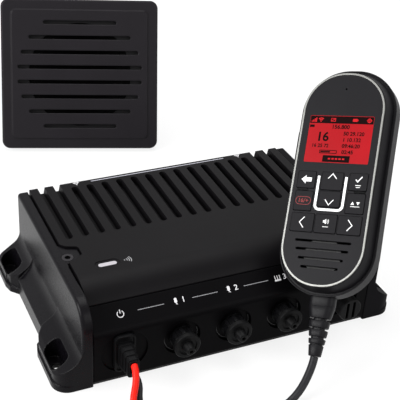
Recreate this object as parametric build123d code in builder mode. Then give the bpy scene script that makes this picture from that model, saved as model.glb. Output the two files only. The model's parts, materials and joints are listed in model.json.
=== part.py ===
from build123d import *
import os
from math import cos, pi, radians, sin, sqrt, tan

# VHF marine radio kit: black-box transceiver on its feet, wired handset leaning on its front edge,
# passive loudspeaker standing behind it. Millimetres, X right, Y back, Z up.
# The origin is on the floor under the middle of the transceiver's case.

os.makedirs("parts", exist_ok=True)
pieces = {}

# ---------------------------------------------------------------- transceiver case
case_width = 232.0
case_depth = 156.0
cheek_height = 66.5
cheek_wall = 8.0
cheek_nose = 19.0
front_y = -case_depth / 2
back_y = case_depth / 2
cheek_inner = case_width / 2 - cheek_wall

flange_proud = 11.7
flange_reach = case_width / 2 + flange_proud
flange_height = 13.0
flange_crease = 25.0
foot_proud = 19.0
foot_reach = case_width / 2 + foot_proud
foot_height = 15.0
foot_crease = 26.0
cove = 6.0
cheek_round = 2.5
cheek_inner_round = 1.0
foot_bevel = 3.0
foot_bevel_drop = 3.5
lip_height = 5.0
lip_step = 1.0
front_foot_length = 57.5
rear_foot_length = 38.0
foot_corner = 12.0
foot_rear_corner = 2.0
foot_shoulder = 13.5
foot_shoulder_step = 1.8
foot_nick = 6.2
pocket_width = 12.0
pocket_length = 26.0
pocket_corner = 5.0
pocket_floor = 4.0
pocket_inset = 7.5
front_pocket_inset = 23.0
rear_pocket_inset = 16.3
foot_hole_radius = 2.75
foot_hole_inset = 8.0
front_hole_inset = 25.0
rear_hole_inset = 16.0

base_lift = 0.0
base_thickness = 3.0
base_gap = 0.5
gasket_thickness = 1.0
gasket_width = 4.0
case_wall = 5.0
case_bottom = base_lift + base_thickness + gasket_thickness
cover_proud = 1.5
cover_top = cheek_height + cover_proud
cover_plate = 9.0
parting_gap = 1.0
parting_depth = 5.0
nose_flat = 39.0
nose_recess = 16.8
nose_start_y = front_y + nose_flat
nose_end_y = front_y + nose_recess
nose_drop = 10.6
nose_lip = 4.4
nose_skin = 4.0
closed_groove_count = 13
open_groove_count = 2
groove_count = closed_groove_count + 2 * open_groove_count
fin_margin = 12.3
fin_pitch = (case_width - 2 * fin_margin) / groove_count
groove_width = 5.6
groove_floor_width = 3.6
groove_depth = 5.4
groove_front_inset = 82.3
groove_back_inset = 6.4
groove_front_y = front_y + groove_front_inset
groove_back_y = back_y - groove_back_inset

lug_thickness = 6.0
lug_gap = 0.9
lug_round = 2.0
lug_corners = [(2.6, 15.7), (-1.9, 10.6), (-9.5, 7.8), (-9.5, -1.0), (-1.9, -5.2), (2.6, -8.3)]
lug_screw_inset = 10.1
lug_screw_depth = 62.8
lug_screw_x = case_width / 2 - lug_screw_inset
lug_screw_y = front_y + lug_screw_depth
lug_boss = (20.0, 26.0)
lug_boss_shift = 10.9
lug_boss_drop = 16.0
screw_radius = 2.5
screw_head_radius = 4.25
screw_head = 4.2
screw_hex = 4.0
screw_hex_depth = 2.5
screw_length = 14.0
screw_well_radius = 4.45
rear_tab = 3.0
rear_tab_width = 14.0
rear_tab_height = 18.0
rear_tab_corner = 3.0
rear_pad = (15.0, 12.0, 14.0)
rear_pad_inset = 7.5
rear_pad_setback = 10.0
rear_screw_drop = 26.5
rear_screw_inset = 15.0
rear_screw_z = cheek_height - rear_screw_drop
rear_screw_x = case_width / 2 - rear_screw_inset
button_head_radius = 4.0
button_head = 2.4
button_hex = 3.0
button_hex_depth = 1.4

status_inset = 33.3
status_setback = 44.6
status_x = status_inset - case_width / 2
status_y = front_y + status_setback
status_length = 13.4
status_width = 3.8
status_rim = 2.6
status_rim_depth = 0.5
status_proud = 0.2
status_depth = 4.0

panel_side_gap = 0.3
panel_face = 0.4
panel_wall = 6.0
panel_bottom = 0.4
panel_nose_drop = 3.2
panel_inner_drop = 4.4
shelf_gap = 0.7
shelf_drop = 11.5
shelf_fall = 9.7
shelf_start_y = nose_end_y - shelf_gap
shelf_start_z = cover_top - shelf_drop
shelf_end_z = shelf_start_z - shelf_fall
shelf_round = 6.0
panel_chamfer = 1.6
tongue_height = 3.2
tongue_reach = 6.0
tongue_drop = 0.5

port_z = 25.0
cap_ports = [-43.0, -3.0, 37.5]
end_port_inset = 30.5
power_x = end_port_inset - case_width / 2
network_x = case_width / 2 - end_port_inset
port_well_radius = 13.8
port_well_depth = 3.0
power_well_radius = 16.8
power_well_depth = 1.2

# ---------------------------------------------------------------- sockets, caps, plug
fit_gap = 0.3
socket_radius = 6.5
socket_bore = 5.25
socket_flange_radius = 9.0
socket_flange = 2.0
socket_reach = 6.0
socket_tail = 13.0
socket_floor = 2.0
socket_pins = 5
socket_pin_radius = 0.6
socket_pin_circle = 3.0
socket_pin = 4.0
collar_radius = 9.0
collar_length = 7.2
collar_sides = 8
collar_lug = (1.6, 2.4)
collar_lug_inset = 0.4
collar_lugs = 3
collar_lug_start = 60.0
collar_lug_span = 120.0
cap_radius = 9.75
cap_proud = 10.0
cap_face = front_y - cap_proud
cap_disc = 3.2
cap_dish_radius = 7.0
cap_dish_depth = 0.9
cap_stem_base = 4.4
cap_stem_radius = 3.1
cap_stem = 6.0
cap_stem_hole = 1.4
cap_plug = 7.4
cap_key = (1.6, 2.0)
cap_key_length = 1.2
cap_fit = 0.05
cap_round = 0.8
grip_cap_radius = 9.0
grip_cap_proud = 14.0
grip_cap_face = front_y - grip_cap_proud
grip_cap_depth = 7.4
grip_rib = 3.0
grip_slot = 2.2
grip_slot_depth = 3.0

plug_shift = 0.7
plug_x = power_x - plug_shift
plug_z = 25.0
plug_width = 15.0
plug_height = 30.0
plug_corner = 3.5
plug_proud = 2.6
plug_rim = 1.3
plug_rim_depth = 0.8
plug_inside = 14.0
plug_socket_wall = 1.8
plug_socket_floor = 1.6
plug_socket_depth = 12.0
boot_steps = 4
boot_step = 4.4
boot_neck = 1.0
boot_neck_cut = 0.9
boot_corner = 2.6
boot_start = (10.8, 20.0)
boot_end = (8.6, 15.0)
lead_diameter = 4.6
lead_pitch = 6.8

antenna_inset = 46.0
vhf_x = case_width / 2 - antenna_inset
gps_x = -vhf_x
antenna_z = 32.0
vhf_thread = 7.9
gps_thread = 5.0
vhf_reach = 14.0
gps_reach = 9.0
vhf_flange = 12.5
gps_flange = 8.0
antenna_flange = 2.0
vhf_bore = 4.6
gps_bore = 2.6
antenna_tail = 10.0
antenna_tail_radius = 4.0
antenna_pin = 1.0
antenna_body_step = 0.5
thread_neck = 0.6
thread_turn_count = 5
thread_cut = 0.6

# ---------------------------------------------------------------- inside the case
board_side_gap = 31.0
board_front_gap = 44.0
board_back_gap = 18.0
board_width = case_width - 2 * board_side_gap
board_front_y = front_y + board_front_gap
board_back_y = back_y - board_back_gap
board_z = 16.0
board_thickness = 1.6
post_radius = 4.0
post_inset = 7.0
small_screw = 1.5
small_head_radius = 2.8
small_head = 1.6
shield_x = -40.0
shield_y = 20.0
shield_width = 62.0
shield_depth = 46.0
shield_height = 12.0
shield_skin = 0.8
amplifier_x = 44.0
amplifier_y = 24.0
amplifier_width = 58.0
amplifier_depth = 18.0
amplifier_height = 8.0
amplifier_step_x = 12.0
amplifier_step_y = 6.0
case_screw = 8.0
small_hex = 2.0
small_hex_depth = 1.0
base_screw_inset = 16.0
base_screw_x = case_width / 2 - base_screw_inset
base_screw_front = 28.0
base_screw_back = 9.0
base_screw_rows = [front_y + base_screw_front, 10.0, back_y - base_screw_back]
panel_screw_inset = 11.0
panel_screw_y = front_y + panel_screw_inset
panel_boss = 8.0
boss_radius = 4.5

# ---------------------------------------------------------------- handset
handset_inset = 41.2
handset_setback = 17.7
handset_rise = 58.5
handset_centre = (
    case_width / 2 - handset_inset, front_y + handset_setback, cheek_height + handset_rise
)
handset_x = (0.6325, -0.7377, 0.2361)
handset_z = (-0.658, -0.3509, 0.6662)
face_half = 28.8
face_top = 75.3
face_bottom = -78.9
face_round = 27.4
trim_width = 1.3
trim_depth = 1.6
shell_half = 35.4
shell_top = 82.9
shell_bottom = -84.8
shell_round = 33.0
shell_edge = 12.0
shell_gap = 0.7
shell_shoulder = 22.0
seam_width = 1.5
seam_lip = 0.9
seam_depth = 0.5
ledge_depth = 2.0
edge_wall = 1.6
shell_depth = 28.0
back_half = 30.5
back_top = 77.5
back_bottom = -79.5
back_round = 28.0
front_skin = 3.2
shell_wall = 2.6
seal_outside = 0.5
front_wall_step = 0.6
screw_post = 3.4
screw_post_top = -9.8
post_bite = 0.5
board_post_hole = 4.2
flap_margin = 2.0
flap_floor = 1.6
flap_floor_corner = 3.0
shut_gap = 0.5
window_half = 23.8
window_top = 43.9
window_bottom = 8.7
window_depth = 1.4
window_round = 0.8
window_rebate = 1.5
display_thickness = 3.0
mic_y = 64.3
mic_hole = 0.7
mic_radius = 3.0
mic_shift = 4.5
slot_rows = [(-48.5, 20.5), (-54.5, 19.2), (-60.9, 16.4), (-67.1, 13.6)]
slot_height = 1.7
earpiece_radius = 13.5
earpiece_gap = 0.4
earpiece_y = -58.0
earpiece_depth = 6.0
key_proud = 0.5
key_depth = 3.9
key_gap = 0.3
key_round = 0.9
key_flange = 0.5
key_flange_thickness = 1.0
key_rows = {
    "key_back": (-25.6, -12.6, -10.6, 1.6),
    "key_ok": (12.6, 25.6, -10.6, 1.6),
    "key_channel": (-25.6, -12.6, -27.2, -13.0),
    "key_option": (12.6, 25.6, -27.2, -13.0),
    "key_up": (-7.8, 7.8, -11.2, 1.6),
    "key_down": (-7.8, 7.8, -23.4, -12.4),
    "key_left": (-25.6, -9.0, -42.4, -29.2),
    "key_middle": (-7.8, 7.8, -42.4, -29.2),
    "key_right": (9.0, 25.6, -42.4, -29.2),
}
dash_x = 21.0
dash_y = -11.8
dash_length = 8.4
dash_width = 1.3
dash_height = 0.5
light_half = 10.1
light_top = -1.3
light_bottom = -25.7
light_width = 1.7
light_round = 3.4
light_proud = 0.3
light_depth = 3.0
pcb_half = 25.0
pcb_top = 62.0
pcb_bottom = -38.0
pcb_z = -13.0
pcb_thickness = 1.4
pcb_round = 8.0
dome_radius = 2.6
dome_gap = 1.3
ptt_y = 22.0
ptt_length = 30.0
ptt_width = 7.0
ptt_z = -17.6
ptt_proud = 1.4
ptt_depth = 4.6
ptt_round = 3.0
ptt_flange = 0.9
flap_y = 42.0
flap_width = 24.0
flap_length = 20.0
flap_thickness = 1.8
flap_corner = 1.8
flap_barrel = 18.0
flap_rib = 0.8
flap_gap = 0.35
flap_pocket = 4.6
flap_pocket_corner = 0.5
distress_radius = 5.5
distress_height = 3.6
distress_flange = 1.0
lug_y = -8.0
hanger_neck = 4.0
hanger_radius = 7.0
hanger_neck_length = 3.0
hanger_disc = 2.4
shell_screw_x = 21.5
shell_screw_rows = [58.0, -62.0]
shell_screw = 14.0
relief_z = -18.9
relief_collar = 19.0
relief_collar_depth = 11.4
relief_collar_length = 9.0
relief_steps = 5
relief_step = 5.2
relief_neck = 1.2
relief_neck_cut = 1.0
relief_corner = 3.4
relief_start = (16.0, 11.6)
relief_end = (10.4, 9.2)
relief_sleeve_radius = 3.9
relief_sleeve = 9.0
relief_inset = 3.0
cord_diameter = 5.7

# ---------------------------------------------------------------- loudspeaker
speaker_distance = 157.6
speaker_foot = (-14.1, back_y + speaker_distance)
speaker_turn = 18.3
speaker_lean = 24.0
speaker_width = 147.0
speaker_height = 140.0
speaker_round = 7.5
grille_thickness = 6.0
grille_skin = 2.4
grille_rim = 9.5
grille_rim_depth = 1.2
grille_round = 2.0
grille_recess_rim = 1.5
grille_step_round = 0.8
grille_corner_step = 2.5
speaker_flange = 6.0
basket_radius = 51.0
basket_wall = 2.6
speaker_slot = 3.5
speaker_slot_pitch = 13.9
speaker_slot_count = 8
speaker_slot_circle = 60.5
cone_radius = 43.0
cone_centre = 15.0
cone_depth = 14.0
cone_gap = 1.0
cone_wall = 1.6
magnet_radius = 28.0
magnet_depth = 13.0
magnet_gap = 3.0
basket_ring = 2.0
basket_arms = 4
arm_width = 9.0
arm_thickness = 1.5
arm_overlap = 3.0
riser_width = 3.2
speaker_screw_inset = 9.5
speaker_screw = 9.0
gland_radius = 5.0
gland_hex = 14.0
gland_length = 8.0
gland_bore = 2.6


def keep(name, body):
    """Files a finished piece under its node name."""
    body.label = name
    pieces[name] = body


def plate(plane, x, y, width, height, corner, thickness):
    """A rounded flat block raised from a plane."""
    with BuildPart() as block:
        with BuildSketch(plane):
            with Locations((x, y)):
                RectangleRounded(width, height, corner)
        extrude(amount=thickness)
    return block.part


def disc(plane, x, y, radius, thickness):
    """A round block raised from a plane."""
    with BuildPart() as block:
        with BuildSketch(plane):
            with Locations((x, y)):
                Circle(radius)
        extrude(amount=thickness)
    return block.part


def screw(plane, shank, length, head_radius, head, recess, recess_depth):
    """A screw whose head rests on the plane, its shank running down the plane's normal backwards."""
    with BuildPart() as body:
        with BuildSketch(plane):
            Circle(head_radius)
        extrude(amount=head)
        with BuildSketch(plane):
            Circle(shank)
        extrude(amount=-length)
        with BuildSketch(plane.offset(head)):
            RegularPolygon(recess / 2, 6, major_radius=False)
        extrude(amount=-recess_depth, mode=Mode.SUBTRACT)
    return body.part


def front_plane(x, y, z):
    """A plane on the port face, looking out of the case, with its x to the right seen from the front."""
    return Plane(origin=(x, y, z), x_dir=(1, 0, 0), z_dir=(0, -1, 0))


def back_plane(x, y, z):
    """A plane on the back face, looking out of it."""
    return Plane(origin=(x, y, z), x_dir=(-1, 0, 0), z_dir=(0, 1, 0))


# ---------------------------------------------------------------- side brackets with the feet
def foot_outline(y_inner, y_outer, side, shrink):
    """Footprint of one foot as a face; y_outer is its flush end, y_inner its rounded one."""
    reach = foot_reach - shrink
    inner = cheek_inner + cheek_wall / 2
    out = 1 if y_outer > y_inner else -1
    end = y_outer
    start = y_inner + out * shrink
    corner = side
    with BuildSketch() as outline:
        with BuildLine():
            Polyline((inner, end), (reach - corner, end))
            JernArc((reach - corner, end), (1, 0), corner, -90 * out)
            Polyline(
                (reach, end - out * corner),
                (reach, start + out * foot_shoulder),
                (reach - foot_shoulder_step, start + out * foot_nick),
                (flange_reach, start),
                (inner, start),
                (inner, end),
            )
        make_face()
    return outline.sketch


def slope_section(plane, outline, crease):
    """Section of a foot or flange; its last outline point starts the slope, which runs up into the wall."""
    inner = cheek_inner + cheek_wall / 2
    foot_of_wall = Vector(case_width / 2, crease)
    slope = (Vector(*outline[-1]) - foot_of_wall).normalized()
    touch = foot_of_wall + slope * cove
    with BuildSketch(plane) as section:
        with BuildLine():
            Polyline((case_width / 2, crease + cove), (inner, crease + cove), (inner, 0), *outline)
            Line(outline[-1], (touch.X, touch.Y))
            TangentArc(
                (touch.X, touch.Y), (case_width / 2, crease + cove), tangent=(-slope.X, -slope.Y)
            )
        make_face()
    return section.sketch


def make_foot(y_inner, y_outer, side):
    """One mounting foot, to be joined to the cheek."""
    reach = foot_reach - lip_step
    outline = [(reach, 0), (reach, foot_height - foot_bevel_drop), (reach - foot_bevel, foot_height)]
    with BuildPart() as foot:
        extrude(slope_section(Plane.XZ, outline, foot_crease), amount=case_depth, both=True)
        extrude(
            foot_outline(y_inner, y_outer, side, lip_step), amount=foot_crease + 2 * cove,
            mode=Mode.INTERSECT,
        )
        extrude(foot_outline(y_inner, y_outer, side, 0), amount=lip_height)
    return foot.part


def lug_outline(side, grow):
    """Footprint of the lug that carries the corner screw; grow opens it for the case's cut-out."""
    with BuildSketch(Plane.XY.offset(cheek_height - lug_thickness)) as outline:
        Polygon(
            *[(side * (lug_screw_x + x), lug_screw_y + y) for x, y in lug_corners], align=None
        )
        fillet(outline.vertices().sort_by(lambda corner: abs(corner.X))[:4], lug_round)
        if grow:
            offset(amount=grow)
    return outline.sketch


with BuildPart() as right_bracket:
    with BuildSketch(Plane.YZ.offset(cheek_inner)):
        with BuildLine():
            Polyline(
                (front_y, cheek_height - cheek_nose), (front_y, 0), (back_y, 0),
                (back_y, cheek_height), (front_y + cheek_nose, cheek_height),
            )
            RadiusArc(
                (front_y + cheek_nose, cheek_height), (front_y, cheek_height - cheek_nose), -cheek_nose
            )
        make_face()
    extrude(amount=cheek_wall)
    rims = right_bracket.edges().filter_by(Axis.Y).group_by(Axis.Z)[-1]
    fillet(rims.sort_by(Axis.X)[-1], cheek_round)
    fillet(rims.sort_by(Axis.X)[0], cheek_inner_round)
    flange_section = slope_section(
        Plane.XZ.offset(-back_y), [(flange_reach, 0), (flange_reach, flange_height)], flange_crease
    )
    extrude(flange_section, amount=case_depth - foot_corner)
    add(make_foot(front_y + front_foot_length, front_y, foot_corner))
    add(make_foot(back_y - rear_foot_length, back_y, foot_rear_corner))
    extrude(lug_outline(1, 0), amount=lug_thickness)
    with BuildSketch(Plane.XZ.offset(-back_y)):
        with Locations((cheek_inner - rear_tab_width / 2 + 1, rear_screw_z)):
            RectangleRounded(rear_tab_width + 2, rear_tab_height, rear_tab_corner)
    extrude(amount=rear_tab)
    for spot in (front_y + front_pocket_inset, back_y - rear_pocket_inset):
        with BuildSketch(Plane.XY.offset(pocket_floor)):
            with Locations((foot_reach - pocket_inset, spot)):
                RectangleRounded(pocket_width, pocket_length, pocket_corner)
        extrude(amount=foot_crease, mode=Mode.SUBTRACT)
    for spot in (front_y + front_hole_inset, back_y - rear_hole_inset):
        with Locations((foot_reach - foot_hole_inset, spot, pocket_floor / 2)):
            Cylinder(foot_hole_radius, 2 * pocket_floor, mode=Mode.SUBTRACT)
    with Locations((lug_screw_x, lug_screw_y, cheek_height - screw_head / 2)):
        Cylinder(screw_well_radius, screw_head, mode=Mode.SUBTRACT)
    with Locations((lug_screw_x, lug_screw_y, cheek_height - lug_thickness)):
        Cylinder(screw_radius, 2 * screw_length, mode=Mode.SUBTRACT)
    with Locations((rear_screw_x, back_y, rear_screw_z)):
        Cylinder(screw_radius, 4 * rear_tab, rotation=(90, 0, 0), mode=Mode.SUBTRACT)
left_bracket = mirror(right_bracket.part, about=Plane.YZ)
keep("right_bracket", right_bracket.part)
keep("left_bracket", left_bracket)

# ---------------------------------------------------------------- finned case
shell_low = cover_top - cover_plate
nose_z = cover_top - nose_drop
with BuildPart() as case_shell:
    with BuildSketch(Plane.YZ.offset(-cheek_inner)):
        with BuildLine():
            TangentArc((nose_start_y, cover_top), (nose_end_y, nose_z), tangent=(-1, 0))
            Polyline(
                (nose_end_y, nose_z), (nose_end_y, case_bottom), (back_y, case_bottom),
                (back_y, cover_top), (nose_start_y, cover_top),
            )
        make_face()
    extrude(amount=2 * cheek_inner)
    with BuildSketch(Plane.YZ.offset(-cheek_inner + case_wall)):
        Polygon(
            (front_y, 0), (front_y, nose_z - nose_lip), (nose_end_y + nose_skin, nose_z - nose_lip),
            (nose_end_y + 3 * nose_skin, shell_low), (back_y - case_wall, shell_low),
            (back_y - case_wall, 0), align=None,
        )
    extrude(amount=2 * (cheek_inner - case_wall), mode=Mode.SUBTRACT)
    for side in (-1, 1):
        with Locations((side * cheek_inner, 0, cover_top)):
            Box(2 * parting_gap, 2 * case_depth, 2 * parting_depth, mode=Mode.SUBTRACT)
        with Locations((side * (lug_screw_x - lug_boss_shift), lug_screw_y, shell_low - lug_boss_drop / 2)):
            Box(*lug_boss, lug_boss_drop)
        for spot in base_screw_rows:
            with Locations((side * base_screw_x, spot, (case_bottom + shell_low) / 2)):
                Cylinder(boss_radius, shell_low - case_bottom)
    for side in (-1, 1):
        extrude(lug_outline(side, lug_gap), amount=cover_plate, mode=Mode.SUBTRACT)
    for number in range(groove_count):
        spot = (number - (groove_count - 1) / 2) * fin_pitch
        closed = abs(spot) < (closed_groove_count + 1) / 2 * fin_pitch
        rear = groove_back_y if closed else back_y + groove_width
        length = rear - groove_front_y
        with BuildSketch(Plane.XY.offset(cover_top)):
            with Locations((spot, groove_front_y + length / 2)):
                SlotOverall(length, groove_width, rotation=90)
        with BuildSketch(Plane.XY.offset(cover_top - groove_depth)):
            with Locations((spot, groove_front_y + length / 2)):
                SlotOverall(length - groove_width + groove_floor_width, groove_floor_width, rotation=90)
        loft(ruled=True, mode=Mode.SUBTRACT)
    with BuildSketch(Plane.XY.offset(cover_top - status_rim_depth)):
        with Locations((status_x, status_y)):
            SlotOverall(status_length + 2 * status_rim, status_width + 2 * status_rim)
    extrude(amount=cover_plate, mode=Mode.SUBTRACT)
    with BuildSketch(Plane.XY.offset(cover_top - status_depth)):
        with Locations((status_x, status_y)):
            SlotOverall(status_length, status_width)
    extrude(amount=cover_plate, mode=Mode.SUBTRACT)
    for side in (-1, 1):
        with Locations((side * lug_screw_x, lug_screw_y, shell_low)):
            Cylinder(screw_radius, 2 * screw_length, mode=Mode.SUBTRACT)
        with BuildSketch(back_plane(0, back_y, 0)):
            with Locations((side * (cheek_inner - rear_tab_width / 2 + 1), rear_screw_z)):
                RectangleRounded(rear_tab_width + 2, rear_tab_height, rear_tab_corner)
        extrude(amount=-rear_tab, mode=Mode.SUBTRACT)
        with Locations((
            side * (cheek_inner - rear_pad_inset), back_y - rear_pad_setback, rear_screw_z
        )):
            Box(*rear_pad)
        with Locations((side * rear_screw_x, back_y, rear_screw_z)):
            Cylinder(screw_radius, 2 * screw_length, rotation=(90, 0, 0), mode=Mode.SUBTRACT)
        for spot in base_screw_rows:
            with Locations((side * base_screw_x, spot, case_bottom)):
                Cylinder(small_screw, 2 * case_screw, mode=Mode.SUBTRACT)
    for spot, bore in ((vhf_x, vhf_thread), (gps_x, gps_thread)):
        with Locations((spot, back_y, antenna_z)):
            Cylinder(
                bore - antenna_body_step, 4 * case_wall, rotation=(90, 0, 0), mode=Mode.SUBTRACT
            )
keep("case_shell", case_shell.part)

with BuildPart() as status_lens:
    with BuildSketch(Plane.XY.offset(cover_top - status_depth)):
        with Locations((status_x, status_y)):
            SlotOverall(status_length, status_width)
    extrude(amount=status_depth - status_rim_depth + status_proud)
keep("status_lens", status_lens.part)

# ---------------------------------------------------------------- front panel with the ports
panel_half = cheek_inner - panel_side_gap
face_y = front_y + panel_face
panel_nose_z = shelf_end_z - panel_nose_drop
with BuildPart() as connector_panel:
    with BuildSketch(Plane.YZ.offset(-panel_half)) as section:
        Polygon(
            (face_y, panel_nose_z), (shelf_start_y, shelf_start_z),
            (shelf_start_y, case_bottom), (face_y + panel_wall, case_bottom),
            (face_y + panel_wall, panel_bottom), (face_y + panel_chamfer, panel_bottom),
            (face_y, panel_bottom + 2 * panel_chamfer), align=None,
        )
        nose = section.vertices().sort_by_distance((face_y, panel_nose_z, 0))[0]
        fillet(nose, shelf_round)
    extrude(amount=2 * panel_half)
    with BuildSketch(Plane.YZ.offset(-panel_half + panel_wall)):
        Polygon(
            (face_y + panel_wall, 0), (face_y + panel_wall, shelf_end_z - panel_inner_drop),
            (shelf_start_y + 1, shelf_start_z - panel_wall), (shelf_start_y + 1, 0), align=None,
        )
    extrude(amount=2 * (panel_half - panel_wall), mode=Mode.SUBTRACT)
    tongue_z = nose_z - nose_lip - tongue_drop - tongue_height / 2
    with Locations((0, shelf_start_y + tongue_reach / 2 - 1, tongue_z)):
        Box(2 * (panel_half - 2 * panel_wall), tongue_reach + 2, tongue_height)
    for side in (-1, 1):
        with Locations((side * base_screw_x, panel_screw_y, case_bottom + panel_boss / 2)):
            Box(panel_boss, panel_boss + 2, panel_boss)
        with Locations((side * base_screw_x, panel_screw_y, case_bottom)):
            Cylinder(small_screw, 2 * case_screw, mode=Mode.SUBTRACT)
    for spot in cap_ports + [network_x]:
        with BuildSketch(front_plane(spot, face_y, port_z)):
            Circle(port_well_radius)
        extrude(amount=-port_well_depth, mode=Mode.SUBTRACT)
        with BuildSketch(front_plane(spot, face_y, port_z)):
            Circle(socket_radius)
        extrude(amount=-2 * panel_wall, mode=Mode.SUBTRACT)
    with BuildSketch(front_plane(power_x, face_y, port_z)):
        Circle(power_well_radius)
    extrude(amount=-power_well_depth, mode=Mode.SUBTRACT)
    with BuildSketch(front_plane(plug_x, face_y, plug_z)):
        RectangleRounded(plug_width, plug_height, plug_corner)
    extrude(amount=-2 * panel_wall, mode=Mode.SUBTRACT)
keep("connector_panel", connector_panel.part)

# ---------------------------------------------------------------- closing plate underneath
base_front = face_y + panel_wall
base_length = back_y - base_gap - base_front
base_middle = (back_y - base_gap + base_front) / 2
base_half = cheek_inner - base_gap
base_spots = [(side * base_screw_x, row) for side in (-1, 1) for row in base_screw_rows]
base_spots += [(side * base_screw_x, panel_screw_y) for side in (-1, 1)]
post_spots = [
    (side * (board_width / 2 - post_inset), row)
    for side in (-1, 1)
    for row in (board_front_y + post_inset, board_back_y - post_inset)
]
with BuildPart() as base_plate:
    with Locations((0, base_middle, base_lift + base_thickness / 2)):
        Box(2 * base_half, base_length, base_thickness)
    for x, y in base_spots:
        with Locations((x, y, base_lift)):
            Cylinder(small_head_radius, 2 * small_head, mode=Mode.SUBTRACT)
            Cylinder(small_screw, 4 * base_thickness, mode=Mode.SUBTRACT)
    for x, y in post_spots:
        with Locations((x, y, (board_z + base_lift) / 2)):
            Cylinder(post_radius, board_z - base_lift)
        with Locations((x, y, board_z)):
            Cylinder(small_screw, 2 * (case_screw - board_thickness), mode=Mode.SUBTRACT)
keep("base_plate", base_plate.part)
with BuildPart() as base_gasket:
    with Locations((0, base_middle, case_bottom - gasket_thickness / 2)):
        Box(2 * base_half, base_length, gasket_thickness)
        Box(2 * (base_half - gasket_width), base_length - 2 * gasket_width, 2, mode=Mode.SUBTRACT)
    with Locations([(x, y, case_bottom) for x, y in base_spots]):
        Cylinder(small_screw, 2 * base_thickness, mode=Mode.SUBTRACT)
keep("base_gasket", base_gasket.part)
upward = [
    screw(
        Plane(origin=(x, y, base_lift + small_head), x_dir=(1, 0, 0), z_dir=(0, 0, -1)),
        small_screw, case_screw, small_head_radius, small_head, small_hex, small_hex_depth,
    )
    for x, y in base_spots
]
downward = [
    screw(
        Plane(origin=(x, y, board_z + board_thickness)), small_screw, case_screw,
        small_head_radius, small_head, small_hex, small_hex_depth,
    )
    for x, y in post_spots
]
keep("case_screws", Compound(children=upward + downward))

corner = [
    screw(
        Plane(origin=(side * lug_screw_x, lug_screw_y, cheek_height - screw_head)),
        screw_radius, screw_length, screw_head_radius, screw_head, screw_hex, screw_hex_depth,
    )
    for side in (-1, 1)
]
rear = [
    screw(
        back_plane(side * rear_screw_x, back_y, rear_screw_z),
        screw_radius, screw_length - 2, button_head_radius, button_head, button_hex,
        button_hex_depth,
    )
    for side in (-1, 1)
]
keep("bracket_screws", Compound(children=corner + rear))

# ---------------------------------------------------------------- boards inside
board_middle = (board_front_y + board_back_y) / 2
with BuildPart() as main_board:
    with Locations((0, board_middle, board_z + board_thickness / 2)):
        Box(board_width, board_back_y - board_front_y, board_thickness)
    for x, y in post_spots:
        with Locations((x, y, board_z)):
            Cylinder(small_screw, 4 * board_thickness, mode=Mode.SUBTRACT)
keep("main_board", main_board.part)
board_top = board_z + board_thickness
with BuildPart() as rf_shield:
    with Locations((shield_x, shield_y, board_top + shield_height / 2)):
        Box(shield_width, shield_depth, shield_height)
    with Locations((shield_x, shield_y, board_top + (shield_height - shield_skin) / 2)):
        Box(
            shield_width - 2 * shield_skin, shield_depth - 2 * shield_skin,
            shield_height - shield_skin, mode=Mode.SUBTRACT,
        )
keep("rf_shield", rf_shield.part)
block_height = shell_low - board_top
with BuildPart() as amplifier:
    with Locations((amplifier_x, amplifier_y, board_top + amplifier_height / 2)):
        Box(amplifier_width, amplifier_depth, amplifier_height)
    with Locations((amplifier_x, amplifier_y, board_top + block_height / 2)):
        Box(amplifier_width - amplifier_step_x, amplifier_depth - amplifier_step_y, block_height)
keep("amplifier", amplifier.part)

# ---------------------------------------------------------------- sockets and caps at the front
socket_seat = face_y + port_well_depth


def make_socket(x):
    """A panel socket with its flange in the port's well, its bore and its contact pins."""
    seat = front_plane(x, socket_seat, port_z)
    with BuildPart() as socket:
        with BuildSketch(seat):
            Circle(socket_flange_radius)
        extrude(amount=socket_flange)
        with BuildSketch(seat.offset(socket_flange)):
            Circle(socket_radius)
        extrude(amount=socket_reach)
        with BuildSketch(seat):
            Circle(socket_radius)
        extrude(amount=-socket_tail)
        with BuildSketch(seat.offset(socket_flange + socket_reach)):
            Circle(socket_bore)
        extrude(amount=socket_floor - socket_flange - socket_reach - socket_tail, mode=Mode.SUBTRACT)
        with BuildSketch(seat.offset(socket_floor - socket_tail)):
            with PolarLocations(socket_pin_circle, socket_pins):
                Circle(socket_pin_radius)
        extrude(amount=socket_pin)
    return socket.part


def make_collar(x):
    """The coupling ring that turns behind a dust cap."""
    start = front_plane(x, socket_seat - socket_flange - fit_gap, port_z)
    with BuildPart() as collar:
        with BuildSketch(start):
            RegularPolygon(collar_radius, collar_sides)
            Circle(socket_radius + fit_gap, mode=Mode.SUBTRACT)
        extrude(amount=collar_length)
        with BuildSketch(start):
            with PolarLocations(
                collar_radius - collar_lug_inset, collar_lugs, start_angle=collar_lug_start,
                angular_range=collar_lug_span,
            ):
                Rectangle(*collar_lug)
            Circle(socket_radius + fit_gap, mode=Mode.SUBTRACT)
        extrude(amount=collar_length)
    return collar.part


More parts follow.
